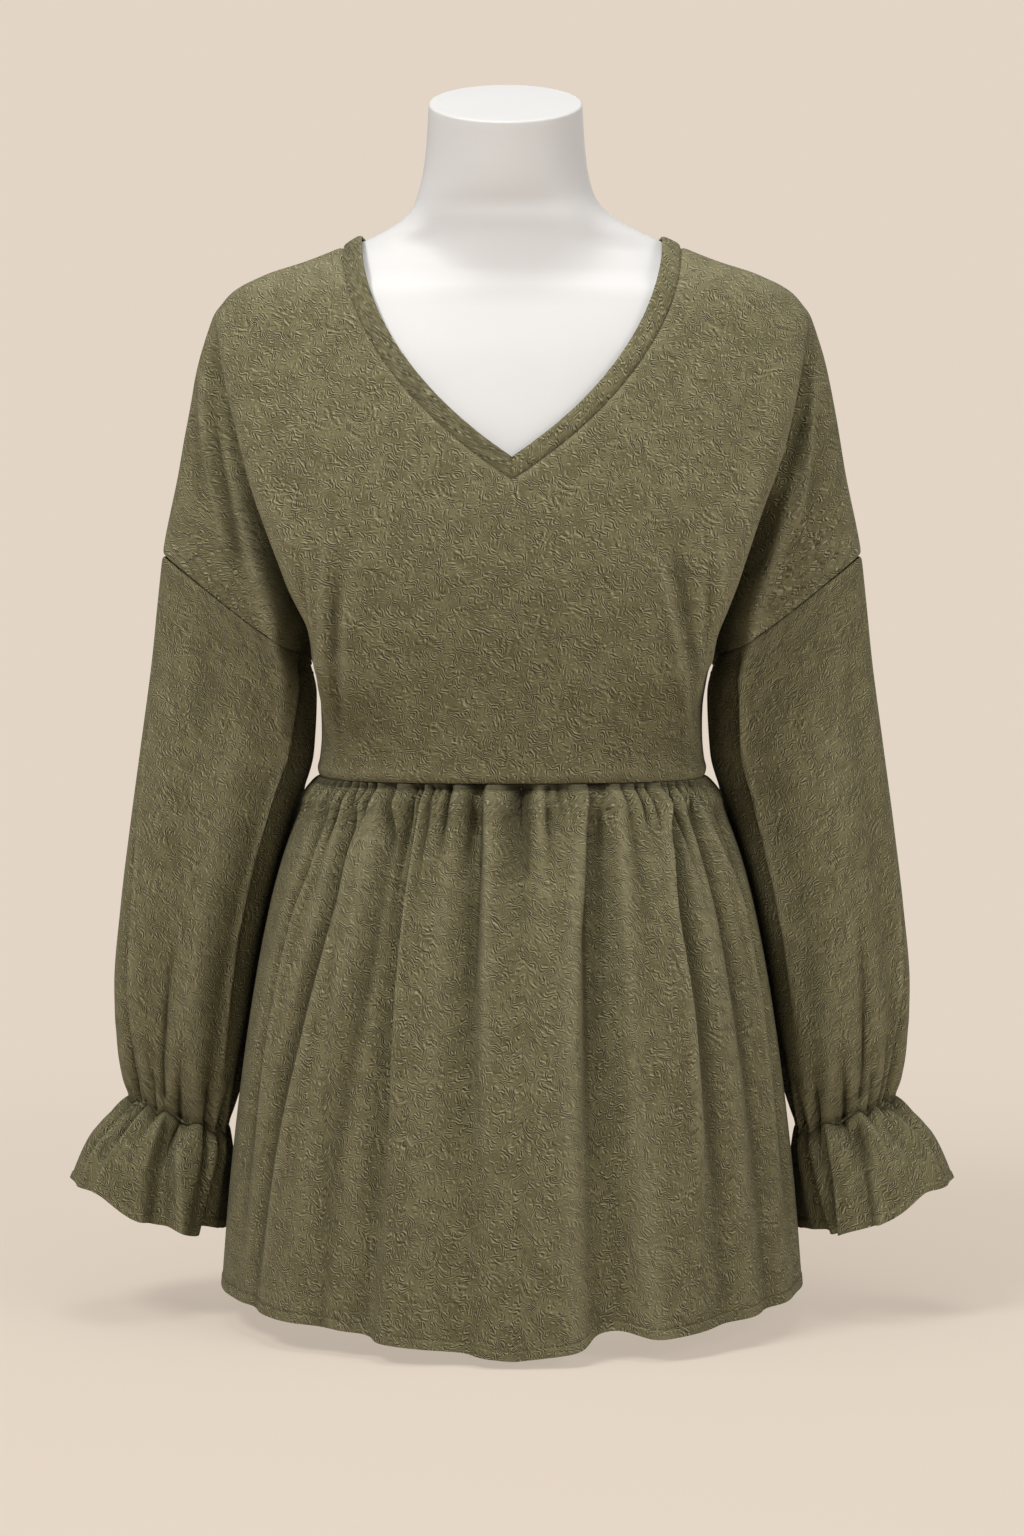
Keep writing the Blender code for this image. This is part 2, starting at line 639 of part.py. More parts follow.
def sleeve(armhole):
    """A sleeve as a tube of rings, from the armhole seam down to the gathered line."""
    count = len(armhole)
    rows = []
    for along in SLEEVE_ROWS:
        fade = 1 - ease(along / ARMHOLE_FADE)
        turned = ease(along / ARMHOLE_TURN)
        row = []
        for k, (seam, seam_way) in enumerate(armhole):
            start, _ = hung_point(sleeve_ring, 0.0, k / count, 0.0)
            drop = gather_drop(k, sleeve_ring.gather(along))
            place, way = hung_point(sleeve_ring, along, k / count, drop)
            place += (seam - start) * fade
            way = seam_way.lerp(way, turned).normalized()
            row.append((place, place - CLOTH * way))
        rows.append(row)
    cloth = new_cloth()
    lay(cloth, rows, closed=True)
    thicken(cloth)
    return cloth


def ruffle():
    """A wrist ruffle as a flared tube of rings, from just below the gathered line to its hem."""
    count = 2 * CUFF_GATHERS
    seam_drop = SEAM_GAP * in_plane(cuff_axis(), 1)
    rows = []
    for along in RUFFLE_ROWS:
        row = []
        for k in range(count):
            wave = HEM_WAVE_DEPTH * ease(along) * (1 - math.cos(2 * math.pi * (k + 1) / 4))
            drop = gather_drop(k, ruffle_ring.gather(along)) + wave * uneven(k // 4, LEAST_VALLEY)
            place, way = hung_point(ruffle_ring, along, k / count, drop)
            place += seam_drop
            row.append((place, place - CLOTH * way))
        rows.append(row)
    cloth = new_cloth()
    lay(cloth, rows, closed=True)
    thicken(cloth)
    return cloth


def cuff_axis():
    """The way down the sleeve at its gathered line, at right angles to that line."""
    cuff = SLEEVE[-1]
    across = Vector((cuff.outer_x - cuff.inner_x, 0, cuff.outer_z - cuff.inner_z))
    return across.cross(Vector((0, 1, 0))).normalized() * -1


def fold_depth(folds, turn, along):
    """How far the long folds draw the skirt in at a place, and how far they lift its hem there."""
    deep = 0.0
    lifted = 0.0
    for fold in folds:
        at = mix(fold.waist, fold.hem, along)
        share = bell(turn - at, fold.reach)
        deep += fold.depth * share * mix(FOLD_AT_WAIST, 1, along) * ease(along / FOLD_START)
        lifted += fold.lift * share
    return deep, lifted


def skirt_point(turn, k, along, way, folds):
    """A point of the skirt and its way outwards; turn runs from the +X side seam to the -X one."""
    angle = math.pi * turn
    roundness = mix(WAIST_ROUNDNESS, HEM_ROUNDNESS, ease(along))
    across = math.copysign(abs(math.cos(angle)) ** (2 / roundness), math.cos(angle))
    depth = skirt_ring.front(along) if way < 0 else skirt_ring.back(along)
    level = Vector((skirt_ring.half_width(along) * across, 0, 0))
    if 0 < turn < 1:
        level.y = way * depth * math.sin(angle) ** (2 / roundness)
    deep, lifted = fold_depth(folds, turn, along)
    at_seam = ease(min(turn, 1 - turn) / SIDE_SEAM_REACH)
    outward = level.normalized()
    level -= outward * (deep * at_seam + gather_drop(k, skirt_ring.gather(along)))
    hem = mix(HEM_MIDDLE_HEIGHT, HEM_SIDE_HEIGHT, abs(math.cos(angle)) ** HEM_CURVE)
    level.z = mix(WAIST_HEIGHT - SEAM_GAP, hem + lifted * at_seam, along)
    return level, outward


def skirt(way, folds):
    """The front or the back of the skirt, gathered at the waist and hanging in long folds."""
    columns = 2 * SKIRT_GATHERS
    half_gap = Vector((0, way * SEAM_GAP / 2, 0))
    rows = []
    for along in SKIRT_ROWS:
        row = []
        for k in range(columns + 1):
            place, outward = skirt_point(k / columns, k, along, way, folds)
            place += half_gap
            row.append((place, place - CLOTH * outward))
        rows.append(row)
    cloth = new_cloth()
    lay(cloth, rows)
    thicken(cloth)
    return cloth


def form_rows():
    """The dress form's rings, with those of its shoulders just under the garment's."""
    shoulders = []
    for z in FORM_SHOULDER_HEIGHTS:
        over = z + SHOULDER_DROP
        front = front_of.body(over) - SHOULDER_INSET
        back = back_of.body(over) - SHOULDER_INSET
        shoulders.append(Body(z, shoulder_line(over), front, back, 0, 0, SHOULDER_ROUNDNESS))
    return sorted([*FORM, *shoulders])


def dress_form():
    """A plain limbless figure: hips, waist, bust, closed shoulders and a neck with a slanted cap."""
    rings = form_rows()
    body = bmesh.new()
    laid = []
    for ring in rings:
        tilt = math.radians(ring.tilt)
        verts = []
        for k in range(FORM_SEGMENTS):
            angle = 2 * math.pi * k / FORM_SEGMENTS
            power = 2 / ring.roundness
            x = math.copysign(abs(math.cos(angle)) ** power, math.cos(angle)) * ring.half_width
            depth = ring.back if math.sin(angle) > 0 else ring.front
            deep = abs(math.sin(angle)) ** power * depth
            if NECK_ROOT_LOW < ring.height < NECK_ROOT_HIGH:
                root = NECK_ROOT_BACK if math.sin(angle) > 0 else NECK_ROOT_FRONT
                deep = max(deep, root * rounded(abs(x) / NECK_ROOT_WIDTH, 2))
            y = math.copysign(deep, math.sin(angle))
            place = (x, ring.middle + y * math.cos(tilt), ring.height + y * math.sin(tilt))
            verts.append(body.verts.new(place))
        laid.append(verts)
    for low, high in zip(laid, laid[1:]):
        for j in range(FORM_SEGMENTS):
            k = (j + 1) % FORM_SEGMENTS
            body.faces.new((low[j], low[k], high[k], high[j]))
    for ring in (laid[0], laid[-1]):
        body.faces.new(ring)
    bmesh.ops.recalc_face_normals(body, faces=body.faces)
    return body


def finish(name, colour, roughness):
    """A plain opaque material."""
    material = bpy.data.materials.new(name)
    material.use_nodes = True
    shader = material.node_tree.nodes["Principled BSDF"]
    shader.inputs["Base Color"].default_value = colour
    shader.inputs["Roughness"].default_value = roughness
    shader.inputs["Metallic"].default_value = 0
    return material


def add_piece(name, shape, material, mirrored=False):
    """Makes a shape an object of its own, on the other side of the middle if it is mirrored."""
    if mirrored:
        for vert in shape.verts:
            vert.co.x *= -1
        bmesh.ops.reverse_faces(shape, faces=shape.faces)
    mesh = bpy.data.meshes.new(name)
    shape.to_mesh(mesh)
    shape.free()
    mesh.materials.append(material)
    mesh.shade_smooth()
    mesh.set_sharp_from_angle(angle=SHARP_ANGLE)
    bpy.context.scene.collection.objects.link(bpy.data.objects.new(name, mesh))


def main():
    for old in list(bpy.data.objects):
        bpy.data.objects.remove(old, do_unlink=True)
    skin, outwards = bodice_skin()
    armhole = armhole_ring(outwards)
    cloths = {
        "bodice_front": bodice_piece(skin, FRONT_TAG),
        "bodice_back": bodice_piece(skin, BACK_TAG),
        "neck_band": neck_band(outwards),
        "skirt_front": skirt(-1, FRONT_FOLDS),
        "skirt_back": skirt(1, BACK_FOLDS),
    }
    skin.free()
    for name, shape in cloths.items():
        add_piece(name, shape, finish(name, OLIVE, CLOTH_ROUGHNESS))
    for side, mirrored in (("left", False), ("right", True)):
        for name, shape in ((f"sleeve_{side}", sleeve(armhole)), (f"ruffle_{side}", ruffle())):
            add_piece(name, shape, finish(name, OLIVE, CLOTH_ROUGHNESS), mirrored)
    add_piece("dress_form", dress_form(), finish("dress_form", WHITE, FORM_ROUGHNESS))


main()
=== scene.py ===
"""A V-neck babydoll top on a white dress form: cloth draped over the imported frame, finishes and a studio.

Metres, +Z up. The wearer's front faces -Y and the wearer's left is +X.
Each cut piece starts as a flat grid of cloth, is draped on the form of its solid, and is then given its wall.
"""

import math
from collections import namedtuple

import bmesh
import bpy
import numpy as np
from bpy.props import FloatProperty, FloatVectorProperty, PointerProperty
from mathutils import Matrix, Vector
from mathutils.kdtree import KDTree


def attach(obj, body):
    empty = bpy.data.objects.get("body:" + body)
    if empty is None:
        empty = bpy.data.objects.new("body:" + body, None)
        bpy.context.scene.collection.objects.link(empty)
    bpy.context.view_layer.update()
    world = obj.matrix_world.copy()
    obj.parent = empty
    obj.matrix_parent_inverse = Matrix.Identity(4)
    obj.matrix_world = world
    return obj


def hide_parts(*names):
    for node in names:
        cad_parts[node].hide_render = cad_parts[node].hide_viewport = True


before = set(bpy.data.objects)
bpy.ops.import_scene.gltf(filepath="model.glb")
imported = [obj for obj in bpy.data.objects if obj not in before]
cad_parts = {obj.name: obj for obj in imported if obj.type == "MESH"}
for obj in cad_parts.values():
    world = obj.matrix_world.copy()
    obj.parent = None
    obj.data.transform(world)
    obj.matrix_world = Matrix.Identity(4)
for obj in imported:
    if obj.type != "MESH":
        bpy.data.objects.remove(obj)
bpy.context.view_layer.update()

bl_info = {
    "name": "Babydoll top on a dress form",
    "version": (1, 0, 0),
    "blender": (4, 5, 0),
    "location": "3D View > Sidebar > Babydoll top",
    "description": "Drapes a V-neck babydoll top with a gathered skirt and ruffled cuffs over its frame",
    "category": "Add Mesh",
}

# Heights of the garment's landmarks
WAIST_HEIGHT = 0.3725
UNDERARM_HEIGHT = 0.453
V_HEIGHT = 0.572
SHOULDER_TIP_HEIGHT = 0.680
ARMHOLE_TOP_HEIGHT = 0.5215
NECK_POINT = (0.114, 0.729)
SEAM_GAP = 0.0003
WELD = 0.00002

# How round a level section is: 2 is an ellipse, and more is squarer
WAIST_ROUNDNESS = 2.6
CHEST_ROUNDNESS = 2.4
HEM_ROUNDNESS = 2.15
# A section counts as closed this close to its half width
CLOSED_SHARE = 0.000002
SIDE_BLEND = 0.065
CREASE_BODY_REACH = 0.0042
CREASE_ARM_REACH = 0.012
ARM_BLEND_START = 0.020
ARM_BLEND_WIDTH = 0.050

# The crease's body side hangs over its arm side: how far by height, and where across
OVERHANG = (
    (0.453, 0.0),
    (0.466, 0.0016),
    (0.485, 0.0048),
    (0.520, 0.0056),
    (0.570, 0.0056),
    (0.610, 0.0050),
    (0.640, 0.0044),
    (0.668, 0.0018),
    (0.688, 0.0),
)
OVERHANG_LIP = 0.0068
OVERHANG_LIP_REACH = 0.017
OVERHANG_ARM_REACH = 0.010

# Half widths by height: the bodice's side, the line over shoulder and arm, and the crease beside the arm
SIDE_SEAM = ((0.3725, 0.1320), (0.4000, 0.1292), (0.4180, 0.1298), (0.4400, 0.1336), (0.4530, 0.1385))
SHOULDER_LINE = (
    (0.4530, 0.2443),
    (0.5215, 0.2370),
    (0.5770, 0.2258),
    (0.6110, 0.2200),
    (0.6450, 0.2133),
    (0.6600, 0.2098),
    (0.6800, 0.2030),
    (0.6900, 0.1960),
    (0.6975, 0.1893),
    (0.7025, 0.1820),
    (0.7065, 0.1738),
    (0.7110, 0.1634),
    (0.7185, 0.1400),
    (0.7290, 0.1140),
    (0.7360, 0.1010),
    (0.7500, 0.0740),
)
CREASE_LINE = (
    (0.4530, 0.1385),
    (0.4720, 0.1400),
    (0.5040, 0.1500),
    (0.5680, 0.1735),
    (0.6400, 0.1935),
    (0.6800, 0.2030),
)

# By height: how far the cloth stands out over body and arm, and how much of that the crease takes away
FRONT = (
    (0.3725, 0.1000, 0.0640, 1.00),
    (0.4200, 0.1070, 0.0640, 1.00),
    (0.4530, 0.1125, 0.0650, 1.00),
    (0.4800, 0.1165, 0.0660, 0.92),
    (0.5100, 0.1180, 0.0660, 0.76),
    (0.5450, 0.1145, 0.0650, 0.56),
    (0.5720, 0.1090, 0.0645, 0.42),
    (0.6000, 0.1015, 0.0640, 0.40),
    (0.6400, 0.0860, 0.0640, 0.33),
    (0.6800, 0.0670, 0.0610, 0.07),
    (0.7000, 0.0570, 0.0560, 0.00),
    (0.7290, 0.0420, 0.0420, 0.00),
    (0.7500, 0.0330, 0.0330, 0.00),
)
BACK = (
    (0.3725, 0.0820, 0.0560, 1.00),
    (0.4200, 0.0860, 0.0560, 1.00),
    (0.4530, 0.0900, 0.0570, 1.00),
    (0.4800, 0.0925, 0.0590, 0.84),
    (0.5200, 0.0950, 0.0600, 0.55),
    (0.5600, 0.0955, 0.0600, 0.28),
    (0.6000, 0.0930, 0.0600, 0.10),
    (0.6400, 0.0850, 0.0620, 0.00),
    (0.6800, 0.0690, 0.0610, 0.00),
    (0.7000, 0.0590, 0.0570, 0.00),
    (0.7290, 0.0430, 0.0430, 0.00),
    (0.7500, 0.0340, 0.0340, 0.00),
)

# Neckline and the band's free edge as cubic curves in the front view, from the middle to the neck point
FRONT_NECKLINE = ((0.0, V_HEIGHT), (0.063, 0.613), (0.111, 0.669), NECK_POINT)
FRONT_BAND_EDGE = ((0.0, 0.5865), (0.050, 0.6195), (0.0985, 0.672), (0.101, 0.736))
BACK_NECKLINE = ((0.0, 0.706), (0.045, 0.706), (0.097, 0.711), NECK_POINT)
BACK_BAND_EDGE = ((0.0, 0.720), (0.040, 0.720), (0.088, 0.724), (0.101, 0.736))
ARMHOLE = ((0.1385, UNDERARM_HEIGHT), (0.168, 0.466), (0.200, 0.496), (0.237, ARMHOLE_TOP_HEIGHT))
ARM_CORNER_HEIGHT = 0.600

# Sleeve and ruffle as rings hung between an outer and an inner point:
# share of the length, outer x and z, inner x and z, depth in front and behind
SLEEVE = (
    (0.00, 0.2370, 0.5215, 0.1385, 0.4530, 0.060, 0.056),
    (0.08, 0.2402, 0.4930, 0.1328, 0.4270, 0.057, 0.055),
    (0.20, 0.2448, 0.4500, 0.1350, 0.3880, 0.054, 0.054),
    (0.35, 0.2522, 0.3960, 0.1495, 0.3450, 0.052, 0.053),
    (0.50, 0.2600, 0.3400, 0.1640, 0.2960, 0.051, 0.052),
    (0.65, 0.2672, 0.2830, 0.1748, 0.2470, 0.050, 0.051),
    (0.80, 0.2720, 0.2270, 0.1828, 0.1950, 0.048, 0.049),
    (0.90, 0.2712, 0.1900, 0.1878, 0.1600, 0.044, 0.045),
    (0.965, 0.2688, 0.1660, 0.1903, 0.1380, 0.037, 0.038),
    (1.00, 0.2655, 0.1520, 0.1925, 0.1265, 0.029, 0.030),
)
RUFFLE = (
    (0.00, 0.2655, 0.1520, 0.1925, 0.1265, 0.029, 0.030),
    (0.12, 0.2735, 0.1440, 0.1925, 0.1185, 0.036, 0.036),
    (0.50, 0.2912, 0.1220, 0.1965, 0.0905, 0.046, 0.045),
    (1.00, 0.3030, 0.0960, 0.2025, 0.0560, 0.053, 0.050),
)
RING = "outer_x outer_z inner_x inner_z front back"
SLEEVE_CENTRE_Y = 0.004
SLEEVE_LENGTH = 0.36
RUFFLE_LENGTH = 0.066
# A point inside a ruffle's hem, and the two waves that its hem runs in
RUFFLE_MIDDLE = (0.2528, SLEEVE_CENTRE_Y, 0.08)
LONG_WAVE = 0.0030
SHORT_WAVE = 0.0016
SLEEVE_ROUNDNESS = 2.5
ARMHOLE_FADE = 0.42
# The inner back of sleeve and ruffle swells in behind the skirt's side
SLEEVE_SWELL = 0.016
CUFF_WAVE = 0.0022
RUFFLE_SWELL = 0.014
SWELL_PLACE = 0.895
SWELL_REACH = 0.060
# Shares of a sleeve's length: where its swell starts and ends, its cuff starts to wave, and its folds fade
SWELL_START = (0.15, 0.45)
SWELL_END = (0.85, 1.0)
CUFF_WAVE_START = (0.93, 1.0)
FOLD_FADE = (0.955, 1.0)
# What is left of a fold at the cuff's seam
CUFF_FOLD_SHARE = 0.2
# Within these shares of a ruffle's length its folds start, its seam's wave ends and its swell starts
RUFFLE_FOLD_START = 0.15
RUFFLE_WAVE_END = 0.3
RUFFLE_SWELL_START = 0.5

# Skirt rings below the waist: share of the length, half width, depth in front and behind
SKIRT = (
    (0.000, 0.1320, 0.1000, 0.0820),
    (0.015, 0.1350, 0.1035, 0.0860),
    (0.045, 0.1412, 0.1090, 0.0925),
    (0.120, 0.1518, 0.1190, 0.1040),
    (0.250, 0.1645, 0.1330, 0.1175),
    (0.430, 0.1765, 0.1470, 0.1300),
    (0.620, 0.1860, 0.1570, 0.1390),
    (0.810, 0.1935, 0.1645, 0.1460),
    (1.000, 0.1990, 0.1690, 0.1500),
)
SKIRT_LENGTH = 0.36
HEM_SIDE_HEIGHT = 0.0245
HEM_MIDDLE_HEIGHT = 0.0050
HEM_CURVE = 0.9
SIDE_SEAM_REACH = 0.06
SKIRT_FOLD_GAIN = 1.25
# How much of its depth lifts the hem in a flat-bottomed fold, and in any fold up to a depth
VALLEY_LIFT = 0.36
FOLD_LIFT = 0.08
LIFTING_DEPTH = 0.020
# The skirt's sharp fold edges get wider by this many times towards the hem
SKIRT_SOFTENING = 3.4
# A squarish section is this much longer round than a circle of its mean half width
SQUARISH_GIRTH = 1.03

# Dress form: height, half width, depth in front and behind, place of its middle, tilt in degrees, roundness
FORM = (
    (0.0000, 0.1400, 0.0600, 0.0900, 0.000, 0, 2.2),
    (0.0600, 0.1560, 0.0860, 0.1010, 0.000, 0, 2.2),
    (0.1300, 0.1650, 0.1010, 0.1080, 0.000, 0, 2.2),
    (0.2000, 0.1560, 0.0990, 0.1020, 0.000, 0, 2.2),
    (0.2700, 0.1340, 0.0900, 0.0840, 0.000, 0, 2.2),
    (0.3300, 0.1180, 0.0840, 0.0700, 0.000, 0, 2.2),
    (0.3725, 0.1185, 0.0880, 0.0690, 0.000, 0, 2.3),
    (0.4200, 0.1220, 0.0980, 0.0740, 0.000, 0, 2.4),
    (0.4600, 0.1245, 0.1070, 0.0780, 0.000, 0, 2.4),
    (0.5000, 0.1270, 0.1120, 0.0810, 0.000, 0, 2.4),
    (0.5400, 0.1310, 0.1090, 0.0840, 0.000, 0, 2.4),
    (0.5720, 0.1380, 0.1035, 0.0850, 0.000, 0, 2.4),
    (0.6000, 0.1490, 0.0965, 0.0835, 0.000, 0, 2.4),
    (0.6300, 0.1670, 0.0860, 0.0790, 0.000, 0, 2.4),
    (0.6550, 0.1830, 0.0760, 0.0730, 0.000, 0, 2.4),
    (0.6750, 0.1905, 0.0660, 0.0660, 0.000, 0, 2.4),
    (0.6900, 0.1890, 0.0580, 0.0600, 0.000, 0, 2.4),
    (0.6990, 0.1810, 0.0530, 0.0550, 0.000, 0, 2.4),
    (0.7350, 0.0940, 0.0345, 0.0350, 0.000, 0, 2.3),
    (0.7468, 0.0725, 0.0400, 0.0400, -0.001, 1, 2.1),
    (0.7595, 0.0610, 0.0487, 0.0480, -0.003, 3, 2.0),
    (0.7830, 0.0547, 0.0505, 0.0500, -0.006, 9, 2.0),
    (0.8050, 0.0525, 0.0510, 0.0510, -0.009, 15, 2.0),
    (0.8240, 0.0515, 0.0515, 0.0515, -0.012, 20, 2.0),
)
FORM_SHOULDER_HEIGHTS = (0.7060, 0.7120, 0.7180, 0.7240, 0.7300)
SHOULDER_DROP = 0.0030
SHOULDER_INSET = 0.0060
# The neck's root: between these heights the chest and back keep at least an ellipse that widens downwards
NECK_ROOT = (0.690, 0.7595)
NECK_ROOT_FADE = 0.012
NECK_ROOT_WIDTH = 0.061
NECK_ROOT_FLARE = 0.30
NECK_ROOT_FRONT = 0.0485
NECK_ROOT_BACK = 0.0455
NECK_ROOT_ROUNDING = 0.008
# The neck stands a little to the wearer's right of the V
NECK_SHIFT = -0.0043
NECK_SHIFT_HEIGHTS = (0.733, 0.768)
# The form keeps this much more clear of the cloth that hides it
HIDDEN_INSET = 0.0012
HIDDEN_BELOW = (0.700, 0.745)
# The base has an inner ring this far in, and an edge cut off by this much across and up
BASE_RING = 0.05
BASE_EDGE = 0.003
BASE_EDGE_HEIGHT = 0.004
FORM_ROWS = 150
FORM_COLUMNS = 132

# How a fold is shaped across
SOFT = "soft"
CRISP = "crisp"
# Deepest under a sharp edge on the side of the lesser or of the greater places, and soft on the other side
EDGE_LOW = "edge low"
EDGE_HIGH = "edge high"
# Flat at the bottom between two edges
VALLEY = "valley"
CRISP_ROUNDING = 0.0004
EDGE_WIDTH = 0.0019
VALLEY_EDGE_SHARE = 0.24

Fold = namedtuple("Fold", "shape stops")


def fold_of(shape, *stops):
    """A fold from its stops: run, place across, and then depth and half width in millimetres.

    A ridge has a depth below 0.
    """
    return Fold(shape, [(run, across, depth / 1000, width / 1000) for run, across, depth, width in stops])


# Bodice folds, by height; places are from the middle
BODICE_FRONT_FOLDS = (
    fold_of(
        SOFT, (0.52, -0.19, 0, 3), (0.556, -0.1974, -3.6, 2.8), (0.59, -0.2035, -4.4, 2.6),
        (0.624, -0.2076, -3, 2.6), (0.65, -0.208, 0, 3),
    ),
    fold_of(SOFT, (0.5, -0.178, 0, 6), (0.53, -0.185, 3.4, 6), (0.59, -0.1965, 4.4, 5), (0.65, -0.202, 0, 5)),
    fold_of(SOFT, (0.54, -0.208, 0, 6), (0.58, -0.213, 2.2, 5), (0.64, -0.217, 0, 5)),
    fold_of(
        EDGE_HIGH, (0.438, -0.133, 0, 3), (0.463, -0.1325, 2.6, 4), (0.482, -0.1358, 3.4, 6),
        (0.506, -0.1372, 2.6, 7), (0.532, -0.1392, 0, 8),
    ),
    fold_of(
        SOFT, (0.4, -0.124, 0, 3), (0.44, -0.1245, -2.6, 3), (0.487, -0.124, -3.4, 2.6),
        (0.515, -0.123, -2.6, 2.6), (0.535, -0.1225, 0, 4),
    ),
    fold_of(SOFT, (0.395, -0.116, 0, 6), (0.43, -0.116, 2, 5), (0.48, -0.115, 2.4, 5), (0.53, -0.113, 0, 6)),
    fold_of(
        SOFT, (0.4, -0.11, 0, 4), (0.44, -0.11, -2.2, 3), (0.475, -0.1095, -2.6, 3), (0.51, -0.108, 0, 4),
    ),
    fold_of(SOFT, (0.54, -0.145, 0, 12), (0.58, -0.156, 2.4, 12), (0.64, -0.172, 0, 12)),
    fold_of(
        SOFT, (0.534, 0.188, 0, 3), (0.556, 0.1921, -3.8, 2.8), (0.582, 0.196, -4.4, 2.6),
        (0.616, 0.2002, -3.6, 2.6), (0.65, 0.204, 0, 3),
    ),
    fold_of(
        SOFT, (0.5, 0.16, 0, 8), (0.521, 0.165, 3, 8), (0.558, 0.1748, 3.4, 8), (0.598, 0.189, 2.6, 6),
        (0.63, 0.196, 0, 6),
    ),
    fold_of(
        SOFT, (0.54, 0.169, 0, 4), (0.575, 0.1775, -1.8, 4), (0.61, 0.1875, -1.8, 4), (0.64, 0.195, 0, 4),
    ),
    fold_of(EDGE_LOW, (0.43, 0.129, 0, 3), (0.466, 0.129, 2.6, 4), (0.492, 0.129, 3, 5), (0.52, 0.129, 0, 7)),
    fold_of(
        SOFT, (0.48, 0.137, 0, 3), (0.508, 0.1385, -2, 3), (0.532, 0.1355, -1.6, 3), (0.555, 0.133, 0, 4),
    ),
    fold_of(
        SOFT, (0.39, 0.118, 0, 4), (0.42, 0.1155, -2.8, 3.4), (0.455, 0.1105, -3.2, 3.4),
        (0.5, 0.1015, -2.2, 3.6), (0.53, 0.097, 0, 5),
    ),
    fold_of(
        SOFT, (0.4, 0.124, 0, 4), (0.43, 0.122, 3, 5), (0.47, 0.118, 4, 7), (0.51, 0.1105, 3.8, 9),
        (0.545, 0.104, 0, 10),
    ),
    fold_of(SOFT, (0.56, 0.14, 0, 12), (0.6, 0.154, 2.2, 12), (0.65, 0.168, 0, 12)),
    fold_of(SOFT, (0.38, 0.01, 0, 30), (0.43, 0.005, 1.4, 30), (0.5, 0, 1.6, 34), (0.56, 0, 0, 30)),
)
BODICE_BACK_FOLDS = (
    fold_of(SOFT, (0.5, -0.172, 0, 4), (0.545, -0.19, -2, 4), (0.6, -0.203, -1.6, 4), (0.65, -0.21, 0, 4)),
    fold_of(EDGE_LOW, (0.42, -0.13, 0, 3), (0.46, -0.133, 2.8, 5), (0.5, -0.137, 0, 8)),
    fold_of(SOFT, (0.49, 0.17, 0, 4), (0.55, 0.192, -2, 4), (0.61, 0.205, -1.6, 4), (0.65, 0.21, 0, 4)),
    fold_of(EDGE_HIGH, (0.425, 0.13, 0, 3), (0.465, 0.1335, 2.8, 5), (0.505, 0.138, 0, 8)),
    fold_of(SOFT, (0.38, -0.03, 0, 14), (0.45, -0.034, 2.2, 14), (0.56, -0.05, 0, 16)),
    fold_of(SOFT, (0.38, 0.045, 0, 12), (0.44, 0.048, 2, 13), (0.54, 0.062, 0, 14)),
    fold_of(SOFT, (0.38, -0.09, 0, 8), (0.43, -0.092, 1.6, 8), (0.52, -0.105, 0, 10)),
)

